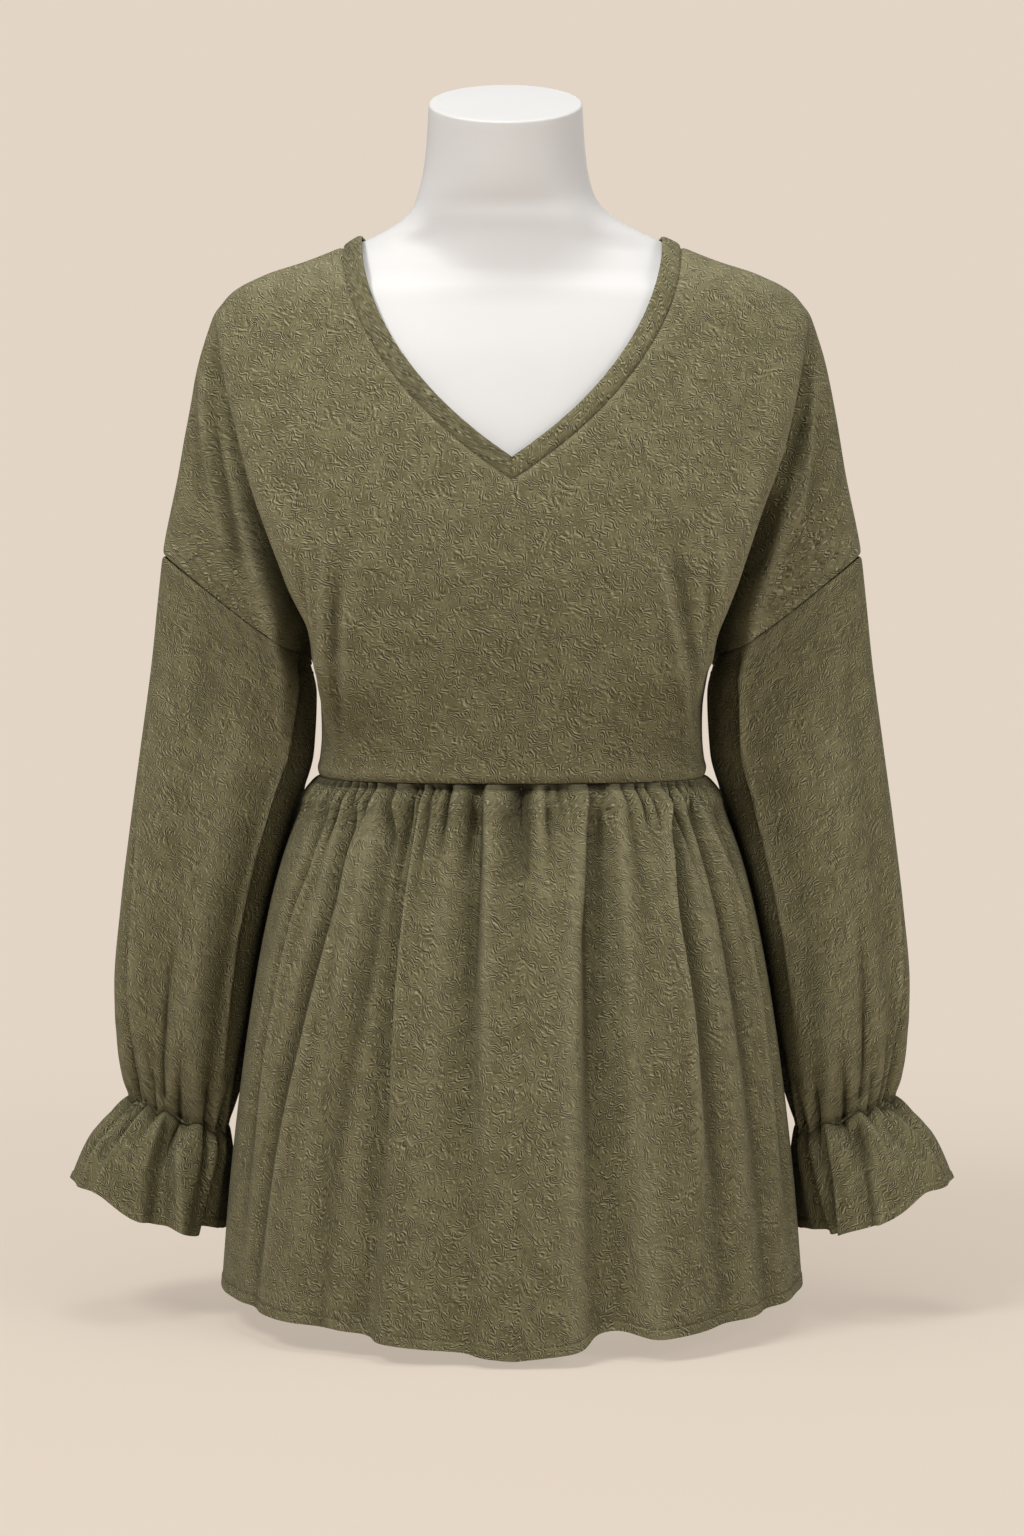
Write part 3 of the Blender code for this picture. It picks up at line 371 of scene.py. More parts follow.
# Skirt folds, by share of the length; places are from 0 at the left side seam to 1 at the right
SKIRT_FRONT_FOLDS = (
    fold_of(
        VALLEY, (0, 0.388, 8, 6.6), (0.06, 0.396, 12, 7.5), (0.175, 0.4043, 15, 9.2),
        (0.293, 0.4105, 16.5, 10.6), (0.41, 0.411, 17, 11.2), (0.555, 0.4085, 17, 12.4),
        (0.733, 0.402, 16.5, 14), (1, 0.394, 16, 16.5),
    ),
    fold_of(
        EDGE_LOW, (0, 0.529, 8, 7.5), (0.06, 0.529, 11.5, 9), (0.125, 0.528, 13, 10.5),
        (0.264, 0.53, 13, 12.5), (0.405, 0.534, 12, 14.5), (0.548, 0.537, 10, 17), (0.723, 0.541, 8, 20),
        (1, 0.546, 6, 24),
    ),
    fold_of(EDGE_HIGH, (0, 0.541, 5, 4), (0.06, 0.541, 6, 4.5), (0.12, 0.542, 3, 5), (0.18, 0.543, 0, 6)),
    fold_of(
        SOFT, (0.01, 0.612, 0, 2.2), (0.119, 0.6105, -3, 2.6), (0.414, 0.6237, -3.4, 3.2),
        (0.741, 0.6364, -3.2, 4.8), (1, 0.651, -3, 7),
    ),
    fold_of(
        EDGE_LOW, (0, 0.621, 4, 5), (0.06, 0.619, 8, 8.5), (0.119, 0.6175, 10.5, 11.5),
        (0.224, 0.6205, 12, 14.5), (0.414, 0.63, 12.5, 18), (0.561, 0.6355, 12.5, 20),
        (0.741, 0.642, 12, 22), (1, 0.655, 11, 25),
    ),
    fold_of(
        SOFT, (0, 0.684, 3, 4), (0.026, 0.679, 7, 4.5), (0.108, 0.6627, 9, 6.5), (0.275, 0.6697, 8.5, 9),
        (0.573, 0.6974, 7, 13), (1, 0.72, 6, 18),
    ),
    fold_of(
        SOFT, (0.01, 0.738, 0, 2.8), (0.085, 0.7179, -3.6, 3.2), (0.183, 0.7108, -4.2, 3.4),
        (0.28, 0.7239, -4.2, 3.6), (0.431, 0.747, -3.8, 4.2), (0.685, 0.789, -3, 6), (1, 0.82, 0, 8),
    ),
    fold_of(
        SOFT, (0.01, 0.757, 0, 4), (0.085, 0.744, 6, 5.5), (0.2, 0.742, 7.5, 7), (0.43, 0.776, 6.5, 9),
        (0.7, 0.815, 5, 12), (1, 0.84, 4, 14),
    ),
    fold_of(
        SOFT, (0.01, 0.796, 0, 2.8), (0.08, 0.792, -3, 3), (0.15, 0.7923, -3.6, 3.2),
        (0.267, 0.8152, -3.4, 3.6), (0.5, 0.845, -2.6, 5), (0.8, 0.87, 0, 7),
    ),
    fold_of(
        SOFT, (0.01, 0.816, 0, 4), (0.1, 0.816, 5, 5), (0.25, 0.838, 5.5, 7), (0.6, 0.872, 4.6, 11),
        (1, 0.885, 1.6, 17),
    ),
    fold_of(
        SOFT, (0.01, 0.251, 0, 2.8), (0.05, 0.27, -3, 2.8), (0.111, 0.2859, -4, 3),
        (0.231, 0.3014, -4, 3.2), (0.304, 0.2954, -3.8, 3.4), (0.426, 0.2875, -3.4, 3.8),
        (0.576, 0.2854, -2.8, 4.6), (0.76, 0.2825, 0, 6),
    ),
    fold_of(
        SOFT, (0.01, 0.232, 0, 4), (0.05, 0.248, 5.5, 6), (0.111, 0.262, 8, 8), (0.231, 0.272, 8.5, 10),
        (0.43, 0.262, 7, 12), (0.76, 0.255, 5, 15), (1, 0.252, 4, 17),
    ),
    fold_of(
        SOFT, (0.01, 0.158, 0, 2.8), (0.06, 0.162, -3, 3), (0.12, 0.161, -3.4, 3.2),
        (0.227, 0.1378, -3.2, 3.6), (0.5, 0.128, -2.4, 5), (0.8, 0.12, 0, 6),
    ),
    fold_of(
        SOFT, (0.01, 0.185, 0, 4), (0.08, 0.192, 6, 6), (0.25, 0.188, 6.5, 8.5), (0.6, 0.176, 5, 12),
        (1, 0.17, 4, 15),
    ),
    fold_of(SOFT, (0.03, 0.11, 0, 5), (0.15, 0.104, 5, 7), (0.4, 0.092, 5, 9), (1, 0.084, 1.2, 17)),
    fold_of(SOFT, (0.02, 0.494, 4, 4), (0.08, 0.495, 5, 6), (0.28, 0.497, 2.4, 9), (0.55, 0.499, 0, 12)),
    fold_of(SOFT, (0.02, 0.452, 3, 4), (0.1, 0.458, 3.4, 7), (0.3, 0.462, 1.4, 10), (0.5, 0.462, 0, 12)),
    fold_of(SOFT, (0.02, 0.578, 3, 4), (0.1, 0.58, 3.6, 7), (0.3, 0.586, 2, 10), (0.6, 0.59, 0, 12)),
    fold_of(SOFT, (0.03, 0.342, 2, 4), (0.12, 0.346, 3, 6), (0.35, 0.346, 1.6, 10), (0.7, 0.345, 0, 12)),
)
SKIRT_BACK_FOLDS = (
    fold_of(SOFT, (0.02, 0.2, 2, 5), (0.2, 0.21, 7, 9), (0.6, 0.22, 7.5, 14), (1, 0.225, 8, 18)),
    fold_of(EDGE_LOW, (0, 0.342, 5, 7), (0.1, 0.34, 11, 10), (0.4, 0.336, 14, 15), (1, 0.328, 16.5, 24)),
    fold_of(SOFT, (0, 0.402, 0, 5), (0.2, 0.404, -2.6, 5), (0.7, 0.402, -2.8, 6), (1, 0.406, -2.4, 7)),
    fold_of(SOFT, (0.02, 0.45, 3, 4), (0.12, 0.452, 4, 7), (0.4, 0.45, 2, 11), (0.7, 0.45, 0, 12)),
    fold_of(SOFT, (0.02, 0.52, 4, 5), (0.15, 0.518, 8, 8), (0.5, 0.51, 7.5, 13), (1, 0.505, 7, 18)),
    fold_of(EDGE_HIGH, (0, 0.65, 5, 7), (0.1, 0.657, 11.5, 10), (0.4, 0.667, 15, 16), (1, 0.68, 17.5, 26)),
    fold_of(SOFT, (0.05, 0.72, 0, 5), (0.3, 0.728, -2.6, 5.5), (1, 0.735, -2.4, 7)),
    fold_of(SOFT, (0.02, 0.8, 3, 5), (0.25, 0.795, 7, 9), (0.6, 0.788, 6.5, 12), (1, 0.785, 5.5, 16)),
    fold_of(SOFT, (0.02, 0.9, 2, 5), (0.25, 0.895, 4.5, 9), (1, 0.885, 4, 15)),
)
# Where the skirt is pinched at its waist seam, by place as above, and how strongly
FRONT_PINCHES = (
    (0.030, 0.5), (0.062, 0.6), (0.094, 0.5), (0.128, 0.7), (0.1595, 0.7), (0.1795, 0.8), (0.2069, 0.9),
    (0.2308, 1.0), (0.2525, 0.7), (0.2913, 0.9), (0.3143, 1.0), (0.345, 0.4), (0.438, 0.5), (0.449, 0.5),
    (0.4642, 0.9), (0.4838, 0.5), (0.4946, 1.2), (0.5732, 0.9), (0.5905, 0.7), (0.6032, 0.9), (0.6203, 0.6),
    (0.6355, 1.0), (0.6706, 0.9), (0.695, 0.6), (0.7165, 1.2), (0.7391, 0.9), (0.760, 0.7), (0.7832, 0.9),
    (0.808, 0.6), (0.8325, 0.7), (0.860, 0.5), (0.885, 0.6), (0.910, 0.5), (0.938, 0.6), (0.968, 0.5),
)
BACK_PINCHES = tuple(
    ((k + 0.5 + 0.3 * math.sin(2.4 * k + 0.8 * math.sin(1.7 * k))) / 36, 0.8 + 0.35 * math.sin(3.1 * k + 1.0))
    for k in range(36)
)
# A gather starts this shallow at its seam, is deepest at this share of its reach or of the cloth's length,
# and dies away by share of its reach: share of its depth, and times its half width
PINCH_SEAM_DEPTH = 0.3
PINCH_DEEPEST = 0.14
PINCH_START = 0.012
PINCH_END = ((0.45, 0.5, 1.2), (0.70, 0.2, 1.7), (1.0, 0.0, 2.4))

# Sleeve folds, by share of the length; places are shares of the round from the inner edge over the front
SLEEVE_RIGHT_FOLDS = (
    fold_of(
        EDGE_HIGH, (0, 0.07, 0, 8), (0.05, 0.086, 6, 12), (0.3, 0.118, 8, 16), (0.6, 0.112, 7, 16),
        (0.9, 0.1, 0, 10),
    ),
    fold_of(
        SOFT, (0.02, 0.092, 0, 4), (0.1, 0.104, -1.6, 3), (0.3, 0.13, -2, 3), (0.7, 0.122, -1.2, 4),
        (0.9, 0.11, 0, 4),
    ),
    fold_of(
        SOFT, (0.06, 0.295, 0, 16), (0.22, 0.292, 4.6, 17), (0.55, 0.285, 5.6, 16), (0.85, 0.3, 4.2, 10),
        (1, 0.305, 0, 6),
    ),
    fold_of(SOFT, (0.08, 0.225, 0, 10), (0.3, 0.232, -2.2, 10), (0.6, 0.23, -2.6, 9), (0.9, 0.225, 0, 8)),
    fold_of(
        EDGE_LOW, (0.25, 0.44, 0, 6), (0.4, 0.425, 3.4, 8), (0.6, 0.395, 5, 10), (0.85, 0.37, 5, 10),
        (1, 0.36, 2, 5),
    ),
    fold_of(
        SOFT, (0.3, 0.425, 0, 3), (0.42, 0.412, -1.6, 2.6), (0.6, 0.384, -1.8, 2.6),
        (0.85, 0.36, -1.4, 2.6), (1, 0.35, 0, 3),
    ),
    fold_of(CRISP, (0.58, 0.255, 0, 6), (0.72, 0.262, 4, 5), (0.88, 0.268, 8, 5), (1, 0.272, 7, 3)),
    fold_of(SOFT, (0.25, 0.15, 0, 10), (0.55, 0.145, 3.4, 12), (0.9, 0.15, 4, 8), (1, 0.15, 0, 5)),
    fold_of(SOFT, (0.1, 0.62, 0, 10), (0.45, 0.63, 5.5, 13), (0.85, 0.64, 6, 9), (1, 0.64, 2, 5)),
    fold_of(SOFT, (0.2, 0.78, 0, 10), (0.55, 0.77, 5, 12), (0.9, 0.78, 5.6, 8), (1, 0.78, 2, 5)),
)
SLEEVE_LEFT_FOLDS = (
    fold_of(
        EDGE_HIGH, (0, 0.11, 0, 8), (0.04, 0.122, 6, 12), (0.15, 0.128, 8, 14), (0.45, 0.115, 7, 16),
        (0.8, 0.1, 0, 10),
    ),
    fold_of(
        SOFT, (0.02, 0.128, 0, 4), (0.08, 0.138, -1.6, 3), (0.2, 0.138, -2, 3), (0.55, 0.122, -1.2, 4),
        (0.8, 0.11, 0, 4),
    ),
    fold_of(
        SOFT, (0.1, 0.37, 0, 14), (0.3, 0.365, 4, 14), (0.62, 0.36, 4.6, 13), (0.88, 0.365, 4, 9),
        (1, 0.37, 0, 6),
    ),
    fold_of(SOFT, (0.08, 0.27, 0, 12), (0.3, 0.275, -2.2, 12), (0.6, 0.27, -2.4, 11), (0.9, 0.265, 0, 8)),
    fold_of(CRISP, (0.5, 0.29, 0, 6), (0.7, 0.28, 4, 5), (0.88, 0.274, 7.6, 5), (1, 0.27, 7, 3)),
    fold_of(SOFT, (0.15, 0.185, 0, 10), (0.45, 0.178, 4, 13), (0.9, 0.165, 4.4, 8), (1, 0.16, 0, 5)),
    fold_of(EDGE_LOW, (0.5, 0.45, 0, 6), (0.7, 0.425, 4.4, 8), (0.88, 0.395, 5.6, 8), (1, 0.38, 2, 4)),
    fold_of(SOFT, (0.5, 0.438, 0, 3), (0.7, 0.413, -1.8, 2.6), (0.88, 0.384, -1.8, 2.6), (1, 0.37, 0, 3)),
    fold_of(SOFT, (0.15, 0.6, 0, 10), (0.45, 0.61, 5.5, 13), (0.85, 0.625, 6, 9), (1, 0.63, 2, 5)),
    fold_of(SOFT, (0.2, 0.77, 0, 10), (0.55, 0.775, 5, 12), (0.9, 0.78, 5.6, 8), (1, 0.78, 2, 5)),
)
# Ruffle folds, in the same way
RUFFLE_RIGHT_FOLDS = (
    fold_of(VALLEY, (0, 0.252, 3, 3), (0.3, 0.24, 9, 4.6), (0.7, 0.219, 12, 8.8), (1, 0.208, 13, 11.2)),
    fold_of(SOFT, (0, 0.33, 0, 2.4), (0.2, 0.332, -2.4, 2.6), (0.7, 0.335, -2.6, 3.4), (1, 0.338, -1.6, 5)),
    fold_of(SOFT, (0, 0.35, 3, 3), (0.25, 0.354, 5, 4.4), (0.7, 0.36, 3, 8), (1, 0.362, 3, 10)),
    fold_of(SOFT, (0, 0.385, 0, 2.4), (0.2, 0.388, -2.8, 2.6), (0.7, 0.396, -2.8, 3.6), (1, 0.4, -1.6, 5)),
    fold_of(SOFT, (0, 0.41, 3, 3), (0.3, 0.416, 5.6, 5), (0.7, 0.42, 3.6, 8), (1, 0.42, 2.4, 10)),
    fold_of(SOFT, (0, 0.14, 3, 3), (0.3, 0.132, 5, 4.4), (0.7, 0.125, 4, 8), (1, 0.122, 4, 10)),
    fold_of(SOFT, (0, 0.07, 3, 3), (0.35, 0.07, 7, 5), (1, 0.065, 10, 9)),
    fold_of(SOFT, (0, 0.6, 3, 3), (0.35, 0.605, 7, 6), (1, 0.61, 9.5, 10)),
    fold_of(SOFT, (0, 0.7, 3, 3), (0.35, 0.695, 7, 6), (1, 0.69, 10, 10)),
    fold_of(SOFT, (0, 0.84, 3, 3), (0.35, 0.845, 7, 6), (1, 0.85, 10, 10)),
)
RUFFLE_LEFT_FOLDS = (
    fold_of(EDGE_HIGH, (0, 0.262, 4, 3), (0.25, 0.252, 8, 6), (0.6, 0.24, 6, 10), (1, 0.232, 5, 13)),
    fold_of(SOFT, (0, 0.285, 0, 2.4), (0.2, 0.282, -2.6, 2.8), (0.7, 0.278, -2, 4), (1, 0.276, 0, 6)),
    fold_of(SOFT, (0, 0.325, 3, 3), (0.25, 0.33, 6, 5), (0.6, 0.34, 4, 10), (1, 0.345, 5, 14)),
    fold_of(SOFT, (0, 0.375, 0, 2.4), (0.2, 0.385, -3, 2.8), (0.7, 0.4, -3, 4), (1, 0.405, -1.6, 6)),
    fold_of(SOFT, (0, 0.4, 3, 3), (0.25, 0.412, 6, 5), (0.7, 0.42, 3.6, 8), (1, 0.42, 2.4, 10)),
    fold_of(EDGE_HIGH, (0, 0.175, 3, 3), (0.3, 0.165, 6, 5), (0.75, 0.15, 9, 8), (1, 0.142, 10, 10)),
    fold_of(SOFT, (0, 0.09, 3, 3), (0.35, 0.088, 7, 5), (1, 0.085, 10, 9)),
    fold_of(SOFT, (0, 0.6, 3, 3), (0.35, 0.605, 7, 6), (1, 0.61, 9.5, 10)),
    fold_of(SOFT, (0, 0.69, 3, 3), (0.35, 0.69, 7, 6), (1, 0.69, 10, 10)),
    fold_of(SOFT, (0, 0.85, 3, 3), (0.35, 0.845, 7, 6), (1, 0.84, 10.5, 10)),
)
# Where the cuff is pinched, as shares of the round, and how strongly
CUFF_PINCHES = tuple(
    ((k + 0.5 + 0.27 * math.sin(2.1 * k + 0.9 * math.sin(1.3 * k))) / 22, 0.8 + 0.3 * math.sin(2.7 * k))
    for k in range(22)
)
# Gathers: depth, reach as a share of the cloth's length, half width, and how far they lean
WAIST_GATHERS = (0.0115, 0.30, 0.0026, 0.006)
SLEEVE_GATHERS = (0.0105, 0.28, 0.0030, 0.01)
RUFFLE_GATHERS = (0.0080, 0.80, 0.0028, 0.02)

# Grids of the draped sheets
BODY_STEPS = (35, 35, 42, 28)
BODY_TURNS = (0.0, 0.25, 0.50, 0.80, 1.0)
BODY_COLUMNS = 80
ARM_COLUMNS = 44
SKIRT_COLUMNS = 330
SKIRT_ROWS = (23, 75, 16)
SKIRT_ROW_BREAKS = (0.06, 0.965)
# More of the skirt's columns lie within this many turns of a sharp fold
COLUMN_CROWD = 2.6
CROWD_REACH = 0.011
SLEEVE_COLUMNS = 200
SLEEVE_ROWS = 125
RUFFLE_ROWS = 50
BAND_COLUMNS = 420
BAND_ROWS = 12

# Seams: how deep the cloth rolls in at its edge, and over what width
SEAM_ROLL = 0.0020
SEAM_WIDTH = 0.0013
PUFF = 0.0007
PUFF_PLACE = 0.006
SKIRT_PUFF = 0.0034
SKIRT_PUFF_PLACE = 0.010
# Over the shoulder the bodice's seam has all of its roll in the middle plane, and none this far from it
RIDGE_SEAM_REACH = 0.006
# The neck band: its width, the share of its columns in front, how it stands out and rolls in at both edges,
# its mitre at the V and its unevenness
BAND_WIDTH = 0.0135
BAND_FRONT_SHARE = 0.62
BAND_RISE = 0.0010
BAND_SEAM_ROLL = 0.0026
BAND_EDGE_ROLL = 0.0016
BAND_ROLL_WIDTH = 0.0012
BAND_MITRE = 0.0011
BAND_MITRE_WIDTH = 0.0009
BAND_UNEVEN = 0.0003
BAND_UNEVEN_STEPS = (260, 190)
# A turned hem stands out this much, up to an edge just above its line of sunk stitching
HEM_RISE = 0.0005
HEM_EDGE_START = 0.0004
HEM_EDGE_WIDTH = 0.0012
STITCH_SINK = 0.0009
STITCH_SINK_WIDTH = 0.0008
# Points along a hem that its length is measured on, and the step that finds which way the cloth faces there
HEM_SAMPLES = 1201
HEM_NUDGE = 0.0005

# A point's hollow is its depth below the cloth smoothed this many rounds, as a share of the second number;
# the cloth's colour paints shade by it in folds and highlight on ridges
HOLLOW_ROUNDS = 40
HOLLOW_DEPTH = 0.0020


class Smooth:
    """A smooth curve through rows of (key, value), with no overshoot between them."""

    def __init__(self, keys, values):
        self.keys = np.asarray(keys, float)
        self.values = np.asarray(values, float)
        steps = np.diff(self.values) / np.diff(self.keys)
        before, after = steps[:-1], steps[1:]
        total = np.where(before * after > 0, before + after, 1.0)
        middle = np.where(before * after > 0, 2 * before * after / total, 0.0)
        self.slopes = np.concatenate([steps[:1], middle, steps[-1:]])

    def __call__(self, at):
        at = np.clip(at, self.keys[0], self.keys[-1])
        i = np.clip(np.searchsorted(self.keys, at, side="right") - 1, 0, len(self.keys) - 2)
        span = self.keys[i + 1] - self.keys[i]
        t = (at - self.keys[i]) / span
        rise = 3 * t**2 - 2 * t**3
        return (
            self.values[i] * (1 - rise)
            + self.values[i + 1] * rise
            + self.slopes[i] * span * t * (1 - t) ** 2
            - self.slopes[i + 1] * span * t**2 * (1 - t)
        )


def curves(table, names):
    """A table's columns after its first, as smooth curves of that one."""
    columns = list(zip(*table))
    made = namedtuple("Curves", names)
    return made(*(Smooth(columns[0], column) for column in columns[1:]))


side_seam = Smooth(*zip(*SIDE_SEAM))
shoulder_line = Smooth(*zip(*SHOULDER_LINE))
crease_line = Smooth(*zip(*CREASE_LINE))
overhang = Smooth(*zip(*OVERHANG))
front_of = curves(FRONT, "body arm crease")
back_of = curves(BACK, "body arm crease")
sleeve_ring = curves(SLEEVE, RING)
ruffle_ring = curves(RUFFLE, RING)
skirt_ring = curves(SKIRT, "half_width front back")


def ease(t):
    """0 to 1, slow at both ends."""
    t = np.clip(t, 0.0, 1.0)
    return t * t * (3 - 2 * t)


def mix(a, b, t):
    return a + (b - a) * t


def share_between(value, limits):
    """How far a value lies on the way from the first of two limits to the second."""
    return (value - limits[0]) / (limits[1] - limits[0])


def bell(offset, reach):
    return np.exp(-((offset / reach) ** 2))


def greater(a, b, rounding):
    """The greater of two, rounded where they meet."""
    return (a + b + np.sqrt((a - b) ** 2 + rounding**2)) / 2


def along_line(values):
    """A row of three numbers for each entry of three arrays."""
    return np.stack(np.broadcast_arrays(*values), axis=-1)


def cubic(points, steps=2400):
    """A cubic Bezier curve of the front view as a fine line."""
    t = np.linspace(0, 1, steps + 1)[:, None]
    a, b, c, d = (np.array(point) for point in points)
    return (1 - t) ** 3 * a + 3 * t * (1 - t) ** 2 * b + 3 * t**2 * (1 - t) * c + t**3 * d


def upward(curve, start, end, steps=2400):
    """A half width's line in the front view, from one height to another."""
    heights = np.linspace(start, end, steps + 1)
    return np.stack([curve(heights), heights], axis=-1)


def spread(line, shares):
    """The points at these shares of a line's length."""
    run = np.concatenate([[0], np.cumsum(np.hypot(*np.diff(line, axis=0).T))])
    at = np.asarray(shares) * run[-1]
    return np.stack([np.interp(at, run, line[:, axis]) for axis in (0, 1)], axis=-1)


def rounded(share, roundness):
    """How much of its depth a level section keeps at a share of its half width."""
    share = np.abs(share)
    open_share = np.where(share > 1 - CLOSED_SHARE, 1.0, share)
    return (1 - open_share**roundness) ** (1 / roundness)


def chest_depth(x, z, face):
    """Depth of the cloth over chest, crease and arm."""
    crease_x = crease_line(z)
    arm_share = ease((x - crease_x + ARM_BLEND_START) / ARM_BLEND_WIDTH)
    depth = mix(face.body(z), face.arm(z), arm_share)
    reach = np.where(x < crease_x, CREASE_BODY_REACH, CREASE_ARM_REACH)
    kept = 1 - face.crease(z) * bell(x - crease_x, reach)
    return depth * rounded(x / shoulder_line(z), CHEST_ROUNDNESS) * kept


def hung_over(x, z):
    """Where a place of the front view goes when the body's cloth laps over the crease."""
    away = x - crease_line(z)
    lip = bell(away + OVERHANG_LIP, OVERHANG_LIP_REACH)
    wall = mix(1.0, -0.75, ease((away + OVERHANG_LIP) / OVERHANG_LIP))
    under = -0.75 * bell(away, OVERHANG_ARM_REACH)
    share = np.where(away < -OVERHANG_LIP, lip, np.where(away < 0, wall, under))
    inside = (z > OVERHANG[0][0]) & (z < OVERHANG[-1][0])
    return x + np.where(inside, overhang(z) * share, 0.0)


def bodice_depth(x, z, face):
    """How far the bodice stands out of the middle plane at a place of the front view."""
    side = side_seam(z)
    waist = face.body(z) * rounded(np.minimum(x / side, 1), WAIST_ROUNDNESS)
    chest = face.body(z) * rounded(x / shoulder_line(z), CHEST_ROUNDNESS)
    chest = chest * (1 - bell(side - x, CREASE_BODY_REACH))
    low = mix(waist, chest, ease(1 - (UNDERARM_HEIGHT - z) / SIDE_BLEND))
    return np.where(z >= UNDERARM_HEIGHT, chest_depth(x, z, face), low)


def fold_depth(folds, run, across, girth=1.0, ring=False, softening=0.0):
    """How far folds draw the cloth in; girth is the cloth's length for one unit across.

    Softening rounds the sharp edges more and more along the run.
    """
    softer = 1 + softening * ease(run)
    deep = np.zeros(np.broadcast(run, across).shape)
    for fold in folds:
        keys, places, depths, widths = zip(*fold.stops)
        offset = across - Smooth(keys, places)(run)
        if ring:
            offset = (offset + 0.5) % 1 - 0.5
        offset = offset * girth
        width = Smooth(keys, widths)(run)
        sharp = EDGE_WIDTH * softer
        if fold.shape == CRISP:
            away = np.sqrt(offset**2 + CRISP_ROUNDING**2) - CRISP_ROUNDING
            share = np.exp(-away / width)
        elif fold.shape == VALLEY:
            edge = VALLEY_EDGE_SHARE * width * np.sqrt(softer)
            share = (np.tanh((offset + width) / edge) - np.tanh((offset - width) / edge)) / 2
        elif fold.shape == EDGE_LOW:
            share = bell(offset, np.where(offset < 0, sharp, width))
        elif fold.shape == EDGE_HIGH:
            share = bell(offset, np.where(offset > 0, sharp, width))
        else:
            share = bell(offset, width)
        deep += Smooth(keys, depths)(run) * share
    return deep


def uneven(k, least, most):
    """A number between these two, which wanders from one gather to the next."""
    return mix(least, most, (1 + math.sin(2.4 * k + 0.7 * math.sin(1.3 * k + least * 900))) / 2)


def pinches(places, deep, length, width, lean=0.0, backwards=False):
    """Gathers as crisp valleys that start at a seam and die away along the cloth."""
    folds = []
    for k, (place, strength) in enumerate(places):
        depth = strength * deep
        reach = uneven(3 * k + 1, 0.45, 1.0) * strength * length
        low = place + lean * math.sin(1.9 * k) + lean * (place - 0.5)
        stops = [
            (0.0, place, PINCH_SEAM_DEPTH * depth, width),
            (min(PINCH_DEEPEST * reach, PINCH_START), mix(place, low, 0.1), depth, width),
        ]
        for run, kept, wider in PINCH_END:
            stops.append((run * reach, mix(place, low, run), kept * depth, wider * width))
        if backwards:
            stops = [(1 - run, *rest) for run, *rest in reversed(stops)]
        folds.append(Fold(CRISP, stops))
    return folds


def new_cloth():
    """An empty cloth with a map of its weave, whose points know their share of the way along its rows."""
    cloth = bmesh.new()
    cloth.loops.layers.uv.new("weave")
    cloth.verts.layers.float.new("share")
    return cloth


def weave_map(place, start=(0.0, 0.0)):
    """Where each crossing of a grid lies on the flat cloth, measured along its rows and columns."""
    across = np.linalg.norm(np.diff(place, axis=1), axis=2)
    along = np.linalg.norm(np.diff(place, axis=0), axis=2)
    u = np.concatenate([np.zeros((len(place), 1)), np.cumsum(across, axis=1)], axis=1)
    v = np.concatenate([np.zeros((1, place.shape[1])), np.cumsum(along, axis=0)], axis=0)
    return np.stack([u + start[0], v + start[1]], axis=-1)


def bodice_map(x, z, face):
    """Where each place of the bodice's front view lies on the flat cloth."""
    across = x[..., None] * np.linspace(0, 1, 49)
    deep = bodice_depth(across, np.broadcast_to(z[..., None], across.shape), face)
    u = np.hypot(np.diff(across, axis=-1), np.diff(deep, axis=-1)).sum(axis=-1)
    heights = np.linspace(WAIST_HEIGHT, NECK_POINT[1] + 0.02, 241)
    rise = np.hypot(np.diff(heights), np.diff(face.body(heights)))
    v = np.interp(z, heights, np.concatenate([[0], np.cumsum(rise)]))
    return np.stack([u, v], axis=-1)


def drape(cloth, place, flat):
    """Adds a flat grid to the cloth and lays its crossings on their places."""
    rows, columns = place.shape[0] - 1, place.shape[1] - 1
    weave = cloth.loops.layers.uv["weave"]
    share = cloth.verts.layers.float["share"]
    made = bmesh.ops.create_grid(cloth, x_segments=columns, y_segments=rows, size=0.5)["verts"]
    for vert in made:
        i, j = round((vert.co.y + 0.5) * rows), round((vert.co.x + 0.5) * columns)
        for loop in vert.link_loops:
            loop[weave].uv = flat[i, j]
        vert[share] = i / rows
        vert.co = place[i, j]


def face_outwards(cloth):
    """Joins the sheet's grids and turns its faces away from the garment's middle plane."""
    bmesh.ops.remove_doubles(cloth, verts=cloth.verts, dist=WELD)
    bmesh.ops.recalc_face_normals(cloth, faces=cloth.faces)
    cloth.normal_update()
    middle = sum((vert.co for vert in cloth.verts), Vector()) / len(cloth.verts)
    middle.y = 0
    if sum(vert.normal.dot(vert.co - middle) for vert in cloth.verts) < 0:
        bmesh.ops.reverse_faces(cloth, faces=cloth.faces)
        cloth.normal_update()


def push(cloth, amounts):
    """Moves each point of the sheet inwards by its amount."""
    ways = [vert.normal.copy() for vert in cloth.verts]
    for vert, way, amount in zip(cloth.verts, ways, amounts):
        vert.co -= way * float(amount)
    cloth.normal_update()


def mark_hollows(cloth):
    """Writes on each point how deep it lies below the cloth round it: 1 in a fold, -1 on a ridge. The cloth's
    colour paints shade in the folds and highlight on the ridges by it.
    """
    hollow = cloth.verts.layers.float.new("hollow")
    cloth.verts.index_update()
    place = positions(cloth).T
    normals = np.array([vert.normal[:] for vert in cloth.verts])
    ends = np.array([[vert.index for vert in edge.verts] for edge in cloth.edges])
    here, there = np.concatenate([ends, ends[:, ::-1]]).T
    neighbours = np.bincount(here, minlength=len(place))
    level = place.copy()
    for _ in range(HOLLOW_ROUNDS):
        mean = np.stack([np.bincount(here, level[there, axis], len(level)) for axis in range(3)], axis=-1)
        level = mix(level, mean / neighbours[:, None], 0.5)
    deep = ((level - place) * normals).sum(axis=1)
    for vert, share in zip(cloth.verts, np.clip(deep / HOLLOW_DEPTH, -1, 1)):
        vert[hollow] = share


